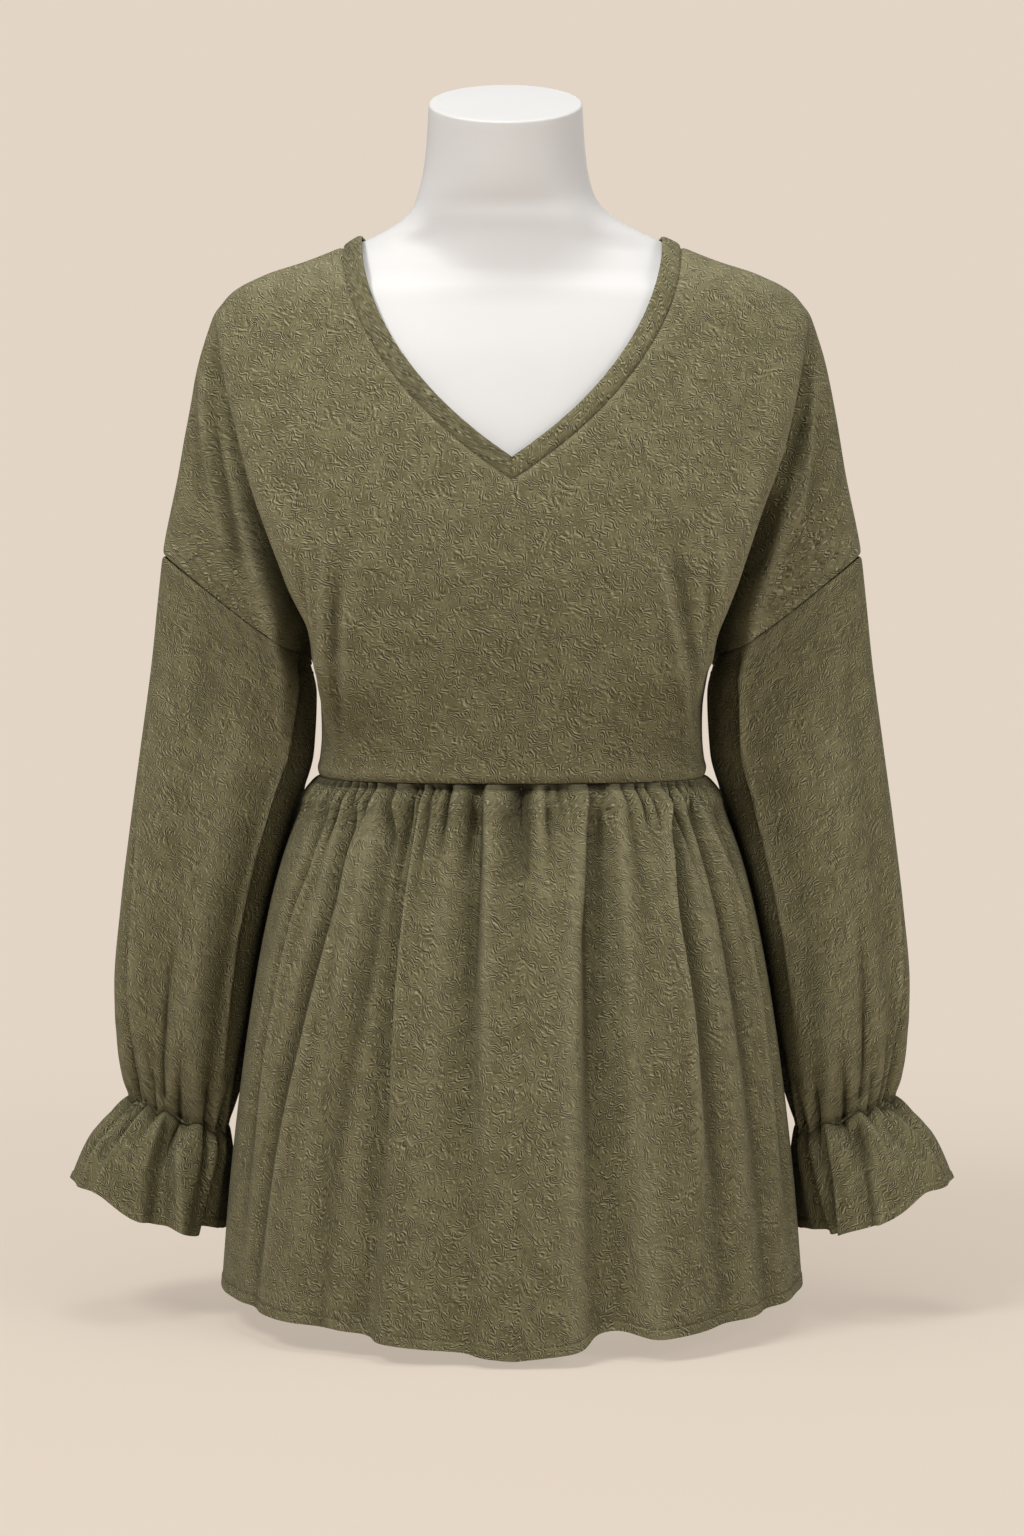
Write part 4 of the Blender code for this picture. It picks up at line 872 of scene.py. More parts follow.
def thicken(cloth, thickness):
    """Closes the sheet into a wall under its outside."""
    mark_hollows(cloth)
    inside = cloth.verts.layers.float_vector.new("inside")
    for vert in cloth.verts:
        vert[inside] = vert.co - vert.normal * thickness
    grown = bmesh.ops.extrude_face_region(cloth, geom=cloth.faces[:])
    for piece in grown["geom"]:
        if isinstance(piece, bmesh.types.BMVert):
            piece.co = piece[inside]
    bmesh.ops.recalc_face_normals(cloth, faces=cloth.faces)


def positions(cloth):
    """The points of the cloth as x, y, z columns."""
    return np.array([vert.co[:] for vert in cloth.verts]).T


def add_piece(name, shape, material):
    """Makes a shape an object that rides on the frame."""
    mesh = bpy.data.meshes.new(name)
    shape.to_mesh(mesh)
    shape.free()
    mesh.materials.append(material)
    mesh.shade_smooth()
    mesh.set_sharp_from_angle(angle=math.radians(60))
    piece = bpy.data.objects.new(name, mesh)
    bpy.context.scene.collection.objects.link(piece)
    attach(piece, "root")
    return piece


def steps_between(turns, steps):
    """Grid shares of a bodice panel: close at the seams and at the ridge over the shoulder."""
    shares = [np.zeros(1)]
    powers = (1.35, 1.3, 1.0, None)
    for low, high, count, power in zip(turns, turns[1:], steps, powers):
        t = np.arange(1, count + 1) / count
        bent = np.sin(math.pi / 2 * t) if power is None else t**power
        shares.append(mix(low, high, bent))
    return np.concatenate(shares)


def two_part_edge(lower, upper, rows, corner):
    """The points of a panel's side whose corner lies on a grid row."""
    turn = rows[corner]
    below = spread(lower, rows[: corner + 1] / turn)
    above = spread(upper, (rows[corner + 1 :] - turn) / (1 - turn))
    return np.concatenate([below, above])


def panel_grid(left, right, bottom, top, rows, columns):
    """A grid of the front view spread between a panel's four edges, from the bottom row up."""
    up = rows[:, None, None]
    across = columns[None, :, None]
    sides = mix(left[:, None], right[:, None], across)
    ends = mix(bottom[None], top[None], up)
    corners = mix(mix(bottom[0], bottom[-1], across), mix(top[0], top[-1], across), up)
    return sides + ends - corners


def body_grid(neckline, neck_row):
    """The half panel from the middle to the side seam and the crease."""
    rows = steps_between(BODY_TURNS, BODY_STEPS)
    columns = np.sin(math.pi / 2 * np.arange(BODY_COLUMNS + 1) / BODY_COLUMNS)
    middle = np.array([(0.0, WAIST_HEIGHT), neckline[0]])
    waist = np.array([(0.0, WAIST_HEIGHT), (side_seam(WAIST_HEIGHT), WAIST_HEIGHT)])
    side = upward(side_seam, WAIST_HEIGHT, UNDERARM_HEIGHT)
    crease = upward(crease_line, UNDERARM_HEIGHT, SHOULDER_TIP_HEIGHT)
    return panel_grid(
        two_part_edge(middle, cubic(neckline), rows, neck_row),
        two_part_edge(side, crease, rows, BODY_STEPS[0]),
        spread(waist, columns),
        spread(upward(shoulder_line, NECK_POINT[1], SHOULDER_TIP_HEIGHT), columns),
        rows,
        columns,
    )


def arm_grid():
    """The half panel from the crease over the arm to the armhole seam."""
    rows = steps_between(BODY_TURNS, BODY_STEPS)[BODY_STEPS[0] :]
    rows = (rows - rows[0]) / (1 - rows[0])
    columns = (1 - np.cos(math.pi * np.arange(ARM_COLUMNS + 1) / ARM_COLUMNS)) / 2
    return panel_grid(
        spread(upward(crease_line, UNDERARM_HEIGHT, SHOULDER_TIP_HEIGHT), rows),
        spread(upward(shoulder_line, ARMHOLE_TOP_HEIGHT, ARM_CORNER_HEIGHT), rows),
        spread(cubic(ARMHOLE), columns),
        spread(upward(shoulder_line, SHOULDER_TIP_HEIGHT, ARM_CORNER_HEIGHT), columns),
        rows,
        columns,
    )


def away_from(line, x, z):
    """Distance in the front view from a fine line."""
    tree = KDTree(len(line))
    for k, spot in enumerate(line):
        tree.insert((*spot, 0), k)
    tree.balance()
    return np.array([tree.find((*spot, 0))[2] for spot in zip(x, z)])


def roll_in(away):
    """How far the cloth turns in beside a seam."""
    return SEAM_ROLL * np.exp(-away / SEAM_WIDTH)


def bodice_cloth(way, face, neckline, neck_row, folds, thickness):
    """The bodice's front or back, draped from the waist seam over the shoulders to the armhole seams."""
    cloth = new_cloth()
    grids = [body_grid(neckline, neck_row), arm_grid()]
    for side in (1, -1):
        for grid in grids:
            x, z = grid[..., 0], grid[..., 1]
            place = along_line((side * hung_over(x, z), way * bodice_depth(x, z, face), z))
            flat = bodice_map(x, z, face) * (side, 1)
            drape(cloth, place, flat)
    face_outwards(cloth)
    x, y, z = positions(cloth)
    inwards = fold_depth(folds, z, x)
    inwards += roll_in(z - WAIST_HEIGHT) - PUFF * bell(z - WAIST_HEIGHT - PUFF_PLACE, PUFF_PLACE / 2)
    inwards += roll_in(away_from(cubic(ARMHOLE), np.abs(x), z))
    inwards += roll_in(away_from(cubic(neckline), np.abs(x), z))
    fade = ease(np.abs(y) / RIDGE_SEAM_REACH)
    push(cloth, inwards * fade + roll_in(np.abs(y)) * (1 - fade))
    thicken(cloth, thickness)
    return cloth


def band_cloth(thickness):
    """The binding round the neck as one closed ring, rounded over its free edge and mitred at the V."""
    half = BAND_COLUMNS // 2
    front_columns = round(half * BAND_FRONT_SHARE)
    spots = []
    for way, face, seam, free, count, backwards in (
        (-1, front_of, FRONT_NECKLINE, FRONT_BAND_EDGE, front_columns, False),
        (1, back_of, BACK_NECKLINE, BACK_BAND_EDGE, half - front_columns, True),
    ):
        shares = np.sin(math.pi / 2 * np.arange(count + 1) / count)
        if backwards:
            shares = shares[-2::-1]
        low, high = spread(cubic(seam), shares), spread(cubic(free), shares)
        across = np.linspace(0, 1, BAND_ROWS + 1)[:, None, None]
        grid = mix(low[None], high[None], across)
        depth = bodice_depth(grid[..., 0], grid[..., 1], face)
        spots.append(along_line((grid[..., 0], way * depth, grid[..., 1])))
    side = np.concatenate(spots, axis=1)
    other = side[:, -2::-1] * (-1, 1, 1)
    place = np.concatenate([side, other], axis=1)
    cloth = new_cloth()
    drape(cloth, place, weave_map(place))
    face_outwards(cloth)
    share = cloth.verts.layers.float["share"]
    across = np.array([vert[share] for vert in cloth.verts])
    x, y, z = positions(cloth)
    inwards = BAND_SEAM_ROLL * np.exp(-across * BAND_WIDTH / BAND_ROLL_WIDTH) - BAND_RISE
    inwards += BAND_EDGE_ROLL * np.exp(-(1 - across) * BAND_WIDTH / BAND_ROLL_WIDTH)
    inwards += np.where(y < 0, BAND_MITRE * np.exp(-np.abs(x) / BAND_MITRE_WIDTH), 0)
    inwards += BAND_UNEVEN * np.sin(x * BAND_UNEVEN_STEPS[0]) * np.sin(z * BAND_UNEVEN_STEPS[1])
    push(cloth, inwards)
    thicken(cloth, thickness)
    return cloth


def hung_point(ring, along, share, drop):
    """A point of a sleeve's or ruffle's ring; share 0 is at the inner edge, 0.5 at the outer."""
    angle = math.pi * (1 - 2 * share)
    outer_x, outer_z = ring.outer_x(along), ring.outer_z(along)
    inner_x, inner_z = ring.inner_x(along), ring.inner_z(along)
    depth = np.where(share < 0.5, ring.front(along), ring.back(along))
    power = 2 / SLEEVE_ROUNDNESS
    out = np.sign(np.cos(angle)) * np.abs(np.cos(angle)) ** power
    ahead = np.sign(np.sin(angle)) * np.abs(np.sin(angle)) ** power
    spoke = along_line(((outer_x - inner_x) / 2 * out, -depth * ahead, (outer_z - inner_z) / 2 * out))
    middle = along_line(((outer_x + inner_x) / 2, SLEEVE_CENTRE_Y, (outer_z + inner_z) / 2))
    way = spoke / np.linalg.norm(spoke, axis=-1, keepdims=True)
    return middle + spoke - way * np.asarray(drop)[..., None]


def ring_girth(ring, along):
    """How long a ring of a sleeve or ruffle is, roughly."""
    wide = ring.outer_x(along) - ring.inner_x(along)
    high = ring.outer_z(along) - ring.inner_z(along)
    across = np.hypot(wide, high) / 2
    deep = (ring.front(along) + ring.back(along)) / 2
    return math.pi * (3 * (across + deep) - np.sqrt((3 * across + deep) * (across + 3 * deep)))


def armhole_point(share):
    """A point of the armhole seam on the +X side, by its share of the round."""
    part = np.where(share <= 0.5, share, 1 - share)
    spot = spread(cubic(ARMHOLE), (1 - np.cos(2 * math.pi * part)) / 2)
    x, z = spot[..., 0], spot[..., 1]
    y = np.where(share <= 0.5, -bodice_depth(x, z, front_of), bodice_depth(x, z, back_of))
    return along_line((x, y, z))


def sleeve_place(along, share, folds):
    """A point of the sleeve on the +X side."""
    girth = ring_girth(sleeve_ring, along)
    deep = fold_depth(folds, along, share, girth, ring=True)
    deep = deep * mix(1, CUFF_FOLD_SHARE, ease(share_between(along, FOLD_FADE)))
    gathers = pinches(CUFF_PINCHES, *SLEEVE_GATHERS, backwards=True)
    deep = deep + fold_depth(gathers, along, share, girth, ring=True)
    deep = deep + roll_in(along * SLEEVE_LENGTH) + roll_in((1 - along) * SLEEVE_LENGTH)
    place = hung_point(sleeve_ring, along, share, deep)
    start = hung_point(sleeve_ring, np.zeros_like(along), share, np.zeros_like(share * along))
    place[..., 2] += cuff_wave(share) * ease(share_between(along, CUFF_WAVE_START))
    fade = 1 - ease(along / ARMHOLE_FADE)
    place = place + (armhole_point(share) - start) * fade[..., None]
    swell = ease(share_between(along, SWELL_START)) * (1 - ease(share_between(along, SWELL_END)))
    place[..., 0] -= inner_swell(share) * SLEEVE_SWELL * swell
    return place


def cuff_wave(share):
    """How the gathered seam between sleeve and ruffle runs up and down on its way round."""
    return CUFF_WAVE * np.sin(2 * math.pi * (13 * share + 0.24 * np.sin(2 * math.pi * 3 * share)))


def inner_swell(share):
    """Where round a sleeve its inner back swells towards the skirt: 1 at the most."""
    return bell(share - SWELL_PLACE, SWELL_REACH)


def ruffle_place(along, share, folds):
    """A point of the ruffle on the +X side."""
    girth = ring_girth(ruffle_ring, along)
    deep = fold_depth(folds, along, share, girth, ring=True)
    deep = deep * mix(CUFF_FOLD_SHARE, 1, ease(along / RUFFLE_FOLD_START))
    deep = deep + fold_depth(pinches(CUFF_PINCHES, *RUFFLE_GATHERS), along, share, girth, ring=True)
    deep = deep + roll_in(along * RUFFLE_LENGTH) + hem_line((1 - along) * RUFFLE_LENGTH)
    place = hung_point(ruffle_ring, along, share, deep)
    wave = LONG_WAVE * np.sin(2 * math.pi * share * 3 + 1.0) + SHORT_WAVE * np.sin(2 * math.pi * share * 7)
    place[..., 2] += ease(along) * wave + cuff_wave(share) * (1 - ease(along / RUFFLE_WAVE_END))
    place[..., 0] -= inner_swell(share) * RUFFLE_SWELL * ease(along / RUFFLE_SWELL_START)
    return place


def hem_line(up):
    """How far a turned hem lies in or out at a height above its edge."""
    width = bpy.context.scene.babydoll_cloth.hem_width
    rise = HEM_RISE * (1 - ease((up - width - HEM_EDGE_START) / HEM_EDGE_WIDTH))
    return STITCH_SINK * bell(up - width, STITCH_SINK_WIDTH) - rise


def skirt_place(along, turn, way, folds, gathers):
    """A point of the skirt; turn runs from the +X side seam to the -X one."""
    angle = math.pi * turn
    roundness = mix(WAIST_ROUNDNESS, HEM_ROUNDNESS, ease(along))
    across = np.sign(np.cos(angle)) * np.abs(np.cos(angle)) ** (2 / roundness)
    depth = skirt_ring.front(along) if way < 0 else skirt_ring.back(along)
    width = skirt_ring.half_width(along)
    y = way * depth * np.abs(np.sin(angle)) ** (2 / roundness)
    y = np.where((turn <= 0) | (turn >= 1), 0.0, y)
    level = along_line((width * across, y, np.zeros_like(y)))
    outward = level / np.linalg.norm(level, axis=-1, keepdims=True)
    girth = math.pi / 2 * (width + depth) * SQUARISH_GIRTH
    at_seam = ease(np.minimum(turn, 1 - turn) / SIDE_SEAM_REACH)
    deep = SKIRT_FOLD_GAIN * fold_depth(folds, along, turn, girth, softening=SKIRT_SOFTENING) * at_seam
    deep = deep + fold_depth(gathers, along, turn, girth) * mix(0.5, 1, at_seam)
    hem = mix(HEM_MIDDLE_HEIGHT, HEM_SIDE_HEIGHT, np.abs(np.cos(angle)) ** HEM_CURVE)
    length = WAIST_HEIGHT - hem
    valleys = [fold for fold in folds if fold.shape == VALLEY]
    valley = fold_depth(valleys, along, turn, girth, softening=SKIRT_SOFTENING)
    lift = (VALLEY_LIFT * valley + FOLD_LIFT * np.clip(deep, 0, LIFTING_DEPTH)) * ease(along)
    deep = deep + roll_in(along * length) + roll_in(np.minimum(turn, 1 - turn) * girth)
    deep = deep - SKIRT_PUFF * bell(along * length - SKIRT_PUFF_PLACE, SKIRT_PUFF_PLACE)
    deep = deep + hem_line((1 - along) * length)
    place = level - outward * deep[..., None]
    place[..., 1] += way * SEAM_GAP / 2
    place[..., 2] = mix(WAIST_HEIGHT - SEAM_GAP, hem + lift, along)
    return place


def crowded_turns(folds):
    """The skirt's grid columns, closer together beside its sharp folds."""
    turn = np.linspace(0, 1, 2001)
    density = np.ones_like(turn)
    for fold in folds:
        if fold.shape in (EDGE_LOW, EDGE_HIGH, VALLEY):
            places = [stop[1] for stop in fold.stops]
            away = np.maximum(np.maximum(min(places) - turn, turn - max(places)), 0)
            density += COLUMN_CROWD * bell(away, CROWD_REACH)
    run = np.concatenate([[0], np.cumsum((density[1:] + density[:-1]) / 2)])
    return np.interp(np.linspace(0, run[-1], SKIRT_COLUMNS + 1), run, turn)


def skirt_rows():
    """Shares of the skirt's length for its grid rows: close below the waist and at the hem."""
    top_end, low_start = SKIRT_ROW_BREAKS
    top_rows, middle_rows, low_rows = SKIRT_ROWS
    top = top_end * np.linspace(0, 1, top_rows) ** 1.25
    middle = np.linspace(top_end, low_start, middle_rows + 1)[1:]
    low = np.linspace(low_start, 1, low_rows + 1)[1:]
    return np.concatenate([top, middle, low])


def ring_rows(count, start_share, end_share):
    """Shares of a tube's length for its grid rows, close at both ends."""
    top = start_share * np.linspace(0, 1, count // 5) ** 1.3
    low = 1 - end_share * np.linspace(1, 0, count // 4) ** 1.2
    middle = np.linspace(start_share, 1 - end_share, count - len(top) - len(low) + 2)[1:-1]
    return np.concatenate([top, middle, low])


def tube_cloth(rows, columns, placer, side, thickness):
    """A closed tube of cloth: a flat grid wrapped round and joined along its inner edge."""
    share = np.arange(columns + 1) / columns
    along, round_share = np.meshgrid(rows, share, indexing="ij")
    place = placer(along, round_share % 1.0) * (side, 1, 1)
    cloth = new_cloth()
    drape(cloth, place, weave_map(place))
    face_outwards(cloth)
    thicken(cloth, thickness)
    return cloth


def stitch_row(spots, ways, length, width):
    """Stitches as small rounded beads along a line of places, pressed into the cloth."""
    row = bmesh.new()
    for spot, way, (before, after) in zip(spots[1:-1], ways[1:-1], zip(spots, spots[2:])):
        along = Vector(after - before).normalized()
        out = Vector(way).normalized()
        aside = along.cross(out).normalized()
        turn = Matrix((along, aside, out)).transposed().to_4x4()
        scale = Matrix.Diagonal((length / 2, width / 2, width / 2, 1))
        bmesh.ops.create_icosphere(
            row, subdivisions=1, radius=1, matrix=Matrix.Translation(Vector(spot)) @ turn @ scale
        )
    return row


def hem_stitches(placer, run, middle, side=1):
    """The stitching round a hem, at a share of the cloth's length; middle is a point inside the ring."""
    settings = bpy.context.scene.babydoll_cloth
    shares = np.linspace(0, 1, HEM_SAMPLES)
    line = placer(np.full_like(shares, run), shares) * (side, 1, 1)
    length = np.concatenate([[0], np.cumsum(np.linalg.norm(np.diff(line, axis=0), axis=1))])
    count = int(length[-1] / settings.stitch_step)
    even = np.interp(np.linspace(0, length[-1], count + 1), length, shares)
    spots = placer(np.full_like(even, run), even) * (side, 1, 1)
    beside = placer(np.full_like(even, run), even + HEM_NUDGE) * (side, 1, 1)
    above = placer(np.full_like(even, run - 4 * HEM_NUDGE), even) * (side, 1, 1)
    ways = np.cross(beside - spots, above - spots)
    outwards = spots - np.array(middle) * (side, 1, 1)
    flip = np.sign((outwards * ways * (1, 1, 0)).sum(axis=1, keepdims=True))
    return stitch_row(spots, ways * flip, settings.stitch_length, settings.stitch_width)


def form_cloth_clear(z):
    """How much smaller the form is under the cloth that hides it."""
    return HIDDEN_INSET * (1 - ease(share_between(z, HIDDEN_BELOW)))


def form_shape(rim, rows=FORM_ROWS, columns=FORM_COLUMNS):
    """The dress form as one closed skin, with a softly rounded rim round its slanted cap."""
    shoulders = []
    for z in FORM_SHOULDER_HEIGHTS:
        over = z + SHOULDER_DROP
        front = float(front_of.body(over)) - SHOULDER_INSET
        back = float(back_of.body(over)) - SHOULDER_INSET
        shoulders.append((z, float(shoulder_line(over)), front, back, 0, 0, 2.0))
    ring = curves(sorted([*FORM, *shoulders]), "half_width front back middle tilt roundness")
    top = FORM[-1][0]
    rim_turn = np.linspace(0, math.pi / 2, 9)
    body = np.linspace(BASE_EDGE_HEIGHT, top - rim, rows)
    height = np.concatenate([[0, 0], body, top - rim + rim * np.sin(rim_turn[1:]), [top, top]])
    cap = FORM[-1][1]
    rim_inset = rim * (1 - np.cos(rim_turn[1:]))
    inset = np.concatenate([[BASE_RING, BASE_EDGE], np.zeros(rows), rim_inset, [0.5 * cap, cap]])
    closing = np.concatenate([[1, 0], np.zeros(rows), np.zeros(len(rim_turn) - 1), [0, 1]])
    angle = 2 * math.pi * np.arange(columns + 1) / columns
    z, around = np.meshgrid(height, angle, indexing="ij")
    inset = np.broadcast_to(inset[:, None], z.shape) + form_cloth_clear(z)
    power = 2 / ring.roundness(z)
    cos, sin = np.cos(around), np.sin(around)
    wide = np.maximum(ring.half_width(z) - inset, 0)
    behind = sin > 0
    depth = np.maximum(np.where(behind, ring.back(z), ring.front(z)) - inset, 0)
    x = np.sign(cos) * np.abs(cos) ** power * wide
    deep = np.abs(sin) ** power * depth
    root = np.where(behind, NECK_ROOT_BACK, NECK_ROOT_FRONT) - inset
    root_width = NECK_ROOT_WIDTH + NECK_ROOT_FLARE * np.maximum(NECK_ROOT[1] - z, 0)
    root_share = rounded(np.minimum(np.abs(x) / root_width, 1), 2)
    in_root = ease((z - NECK_ROOT[0]) / NECK_ROOT_FADE) * ease((NECK_ROOT[1] - z) / NECK_ROOT_FADE)
    deep = mix(deep, greater(deep, root * root_share, NECK_ROOT_ROUNDING * root_share), in_root)
    x = x + NECK_SHIFT * ease(share_between(z, NECK_SHIFT_HEIGHTS))
    y = np.sign(sin) * deep
    tilt = np.radians(ring.tilt(z))
    closed = 1 - closing[:, None]
    y = y * closed
    place = along_line((x * closed, ring.middle(z) + y * np.cos(tilt), z + y * np.sin(tilt)))
    form = new_cloth()
    drape(form, place, weave_map(place))
    bmesh.ops.remove_doubles(form, verts=form.verts, dist=WELD)
    bmesh.ops.recalc_face_normals(form, faces=form.faces)
    return form


# The studio's lights: place, height that each is aimed at over the middle, and width
LIGHTS = {
    "key": ((-1.5, -1.6, 2.75), 0.45, 0.9),
    "top": ((0, -0.3, 2.9), 0.45, 1.2),
    "fill": ((2.2, -1.7, 1.5), 0.40, 1.6),
    "back": ((0.8, 2.6, 1.2), 0.45, 1.8),
}
# Colours of the lamps, of the light from all round and of the floor, and the camera's lens and tilt
LAMP_COLOUR = (1.0, 0.98, 0.95)
ROOM_COLOUR = (1.0, 0.96, 0.91, 1)
FLOOR_COLOUR = (0.76, 0.67, 0.58, 1)
SENSOR_HEIGHT = 36
LENS_LENGTH = 86.16
LOOK_DOWN = 4


# The crinkle's two sets of ridges and its wider veins: shift on the cloth, turn, and times the pitch
RIDGES = ((0.37, 0.5, 1.0), (1.91, 2.0, 1.0), (2.63, 1.1, 2.7))
# How ridges swirl: size of the swirls, how much they bend a ridge, and how much stays straight
SWIRL_SCALE = 0.22
SWIRL_BEND = 8.0
SWIRL_STRAIGHT = 0.40
# How far apart, in pitches, the two places are whose difference lights a ridge's flank
LIT_STEP = 0.24
# Where one set of ridges gives way to the other, where veins show, and how high ridges and veins stand
PATCH_SCALE = 75.0
VEIN_PATCH_SCALE = 60.0
LEAST_RIDGE = 0.25
VEIN_HEIGHT = 0.30
# The relief at which the cloth has all of its painted light or shade on the crinkle's flanks, and what its
# threads and mottling add
FULL_RELIEF = 1.15
THREAD_SCALE = 1300.0
THREAD_CONTRAST = 1.6
MOTTLE_SCALE = 62.0
# How much painted shade, the hollow's dark colour, lies in a full hollow, and how much painted highlight, the
# light colour, on a full ridge
HOLLOW_SHADE = 0.72
RIDGE_LIGHT = 0.22


class Wire:
    """A shader socket that can stand in an expression on values."""

    def __init__(self, finish, socket):
        self.finish = finish
        self.socket = socket

    def maths(self, operation, *values):
        return self.finish.node("ShaderNodeMath", {"operation": operation}, dict(enumerate(values)))

    def __add__(self, other):
        return self.maths("ADD", self, other)

    def __sub__(self, other):
        return self.maths("SUBTRACT", self, other)

    def __rsub__(self, other):
        return self.maths("SUBTRACT", other, self)

    def __mul__(self, other):
        return self.maths("MULTIPLY", self, other)

    __radd__ = __add__
    __rmul__ = __mul__

    def between(self, low, high):
        """0 below low, 1 above high, smooth between them."""
        return self.finish.node(
            "ShaderNodeMapRange",
            {"interpolation_type": "SMOOTHSTEP"},
            {"Value": self, "From Min": low, "From Max": high},
        )


class Finish:
    """A material or a world under construction."""

    def __init__(self, owner):
        self.owner = owner
        owner.use_nodes = True
        self.tree = owner.node_tree
        self.tree.nodes.clear()

    def node(self, kind, settings=None, sockets=None, output=0):
        """Adds a node: its settings first, then the values or links of its sockets."""
        node = self.tree.nodes.new(kind)
        for name, value in (settings or {}).items():
            setattr(node, name, value)
        for name, value in (sockets or {}).items():
            if isinstance(value, Wire):
                self.tree.links.new(value.socket, node.inputs[name])
            else:
                node.inputs[name].default_value = value
        return Wire(self, node.outputs[output]) if node.outputs else node

    def mixed(self, amount, first, second):
        """A colour between two colours."""
        return self.node("ShaderNodeMix", {"data_type": "RGBA"}, {0: amount, 6: first, 7: second}, output=2)

    def noise(self, place, scale, detail=2.0, roughness=0.5):
        return self.node(
            "ShaderNodeTexNoise",
            {"noise_dimensions": "3D"},
            {"Vector": place, "Scale": scale, "Detail": detail, "Roughness": roughness},
        )

    def moved(self, place, location=(0, 0, 0), turn=0.0):
        """A pattern's place turned in the cloth's plane, then moved."""
        return self.node(
            "ShaderNodeMapping",
            {"vector_type": "POINT"},
            {"Vector": place, "Location": location, "Rotation": (0, 0, turn)},
        )

    def out(self, shader, kind="ShaderNodeOutputMaterial"):
        self.node(kind, None, {"Surface": shader})
        return self.owner


def new_material(name):
    return Finish(bpy.data.materials.new(name))


def ridge_lines(finish, flat, shift, turn, pitch):
    """Thin ridges side by side that swirl over the cloth like the lines of a fingerprint."""
    place = finish.moved(flat, location=(shift, 0.6 * shift, 0), turn=turn)
    swirl = finish.noise(place, SWIRL_SCALE / pitch, detail=1.0, roughness=0.4)
    across = finish.node("ShaderNodeSeparateXYZ", None, {"Vector": place})
    phase = (swirl * (SWIRL_BEND * pitch) + across * SWIRL_STRAIGHT) * (2 * math.pi / pitch)
    return finish.node("ShaderNodeMath", {"operation": "SINE"}, {0: phase})


def embossed(finish, flat, shift, turn, pitch):
    """The same ridges lit from one side: above 0 on their light flank and below 0 on their dark one. The
    cloth's colour paints this light and shade, and its bump takes it as height.
    """
    beside = finish.moved(flat, location=(LIT_STEP * pitch, LIT_STEP * pitch, 0))
    return ridge_lines(finish, flat, shift, turn, pitch) - ridge_lines(finish, beside, shift, turn, pitch)


def crinkled_cloth(name, settings):
    """Matte olive cloth with an embossed crinkle: short ridges in swirling bundles over a fine weave. Its
    colour holds painted light and shade on the crinkle's flanks, painted shade in folds and a painted
    highlight on fold ridges.
    """
    finish = new_material(name)
    flat = finish.node("ShaderNodeUVMap", {"uv_map": "weave"})
    first, second, veins = (
        embossed(finish, flat, shift, turn, wider * settings.crinkle_pitch) for shift, turn, wider in RIDGES
    )
    patch = finish.noise(finish.moved(flat, location=(0.31, 0.12, 0)), PATCH_SCALE, detail=1.5)
    patch = patch.between(0.44, 0.56)
    broken = finish.noise(flat, 1.0 / settings.crinkle_length, detail=2.0).between(0.34, 0.62)
    rare = finish.noise(finish.moved(flat, location=(0.7, 0.4, 0)), VEIN_PATCH_SCALE, detail=2.0)
    rare = rare.between(0.45, 0.62)
    unbroken = LEAST_RIDGE + (1 - LEAST_RIDGE) * broken
    relief = (first * (1 - patch) + second * patch) * unbroken + VEIN_HEIGHT * veins * rare
    thread = finish.noise(flat, THREAD_SCALE, detail=2.5, roughness=0.65)
    mottle = finish.noise(flat, MOTTLE_SCALE, detail=3.0).between(0.40, 0.60)
    ground = finish.mixed(mottle, settings.shade_colour, settings.colour)
    # Painted light and shade on the crinkle's flanks, with the threads' own lighter and darker tone
    lit = (relief + THREAD_CONTRAST * (thread - 0.5)).between(0.0, FULL_RELIEF)
    sunk = (THREAD_CONTRAST * (0.5 - thread) - relief).between(0.0, FULL_RELIEF)
    ground_thread_and_flank_light = finish.mixed(sunk, finish.mixed(lit, ground, settings.light_thread_and_highlight_colour), settings.thread_colour_and_groove_shade)
    # Painted shade: the cloth darkens in its folds by how hollow it lies
    hollow = finish.node("ShaderNodeAttribute", {"attribute_name": "hollow"}, output=2)
    shaded = finish.mixed(HOLLOW_SHADE * hollow.between(-0.1, 1.0), ground_thread_and_flank_light, settings.painted_fold_shade_colour)
    # Painted highlight: the cloth lightens on its fold ridges
    ridge = (0.0 - hollow).between(0.0, 1.0)
    colour = finish.mixed(RIDGE_LIGHT * ridge, shaded, settings.light_thread_and_highlight_colour)
    bump = finish.node(
        "ShaderNodeBump",
        None,
        {"Strength": 1.0, "Distance": settings.crinkle_height, "Height": relief + 0.9 * thread},
    )
    shader = finish.node(
        "ShaderNodeBsdfPrincipled",
        None,
        {
            "Base Color": colour,
            "Roughness": 0.80 + 0.10 * thread,
            "Metallic": 0.0,
            "Specular IOR Level": 0.2,
            "Sheen Weight": 0.03,
            "Sheen Roughness": 0.5,
            "Normal": bump,
        },
    )
    return finish.out(shader)


def thread_finish(settings):
    """The stitching thread: the darker colours of the cloth, mixed along its fibres."""
    finish = new_material("stitching_thread")
    place = finish.node("ShaderNodeTexCoord", None, None, output=3)
    fibre = finish.noise(place, 2600.0, detail=2.0)
    colour = finish.mixed(0.6 * fibre, settings.thread_colour_and_groove_shade, settings.shade_colour)
    shader = finish.node(
        "ShaderNodeBsdfPrincipled", None, {"Base Color": colour, "Roughness": 0.7, "Metallic": 0.0}
    )
    return finish.out(shader)


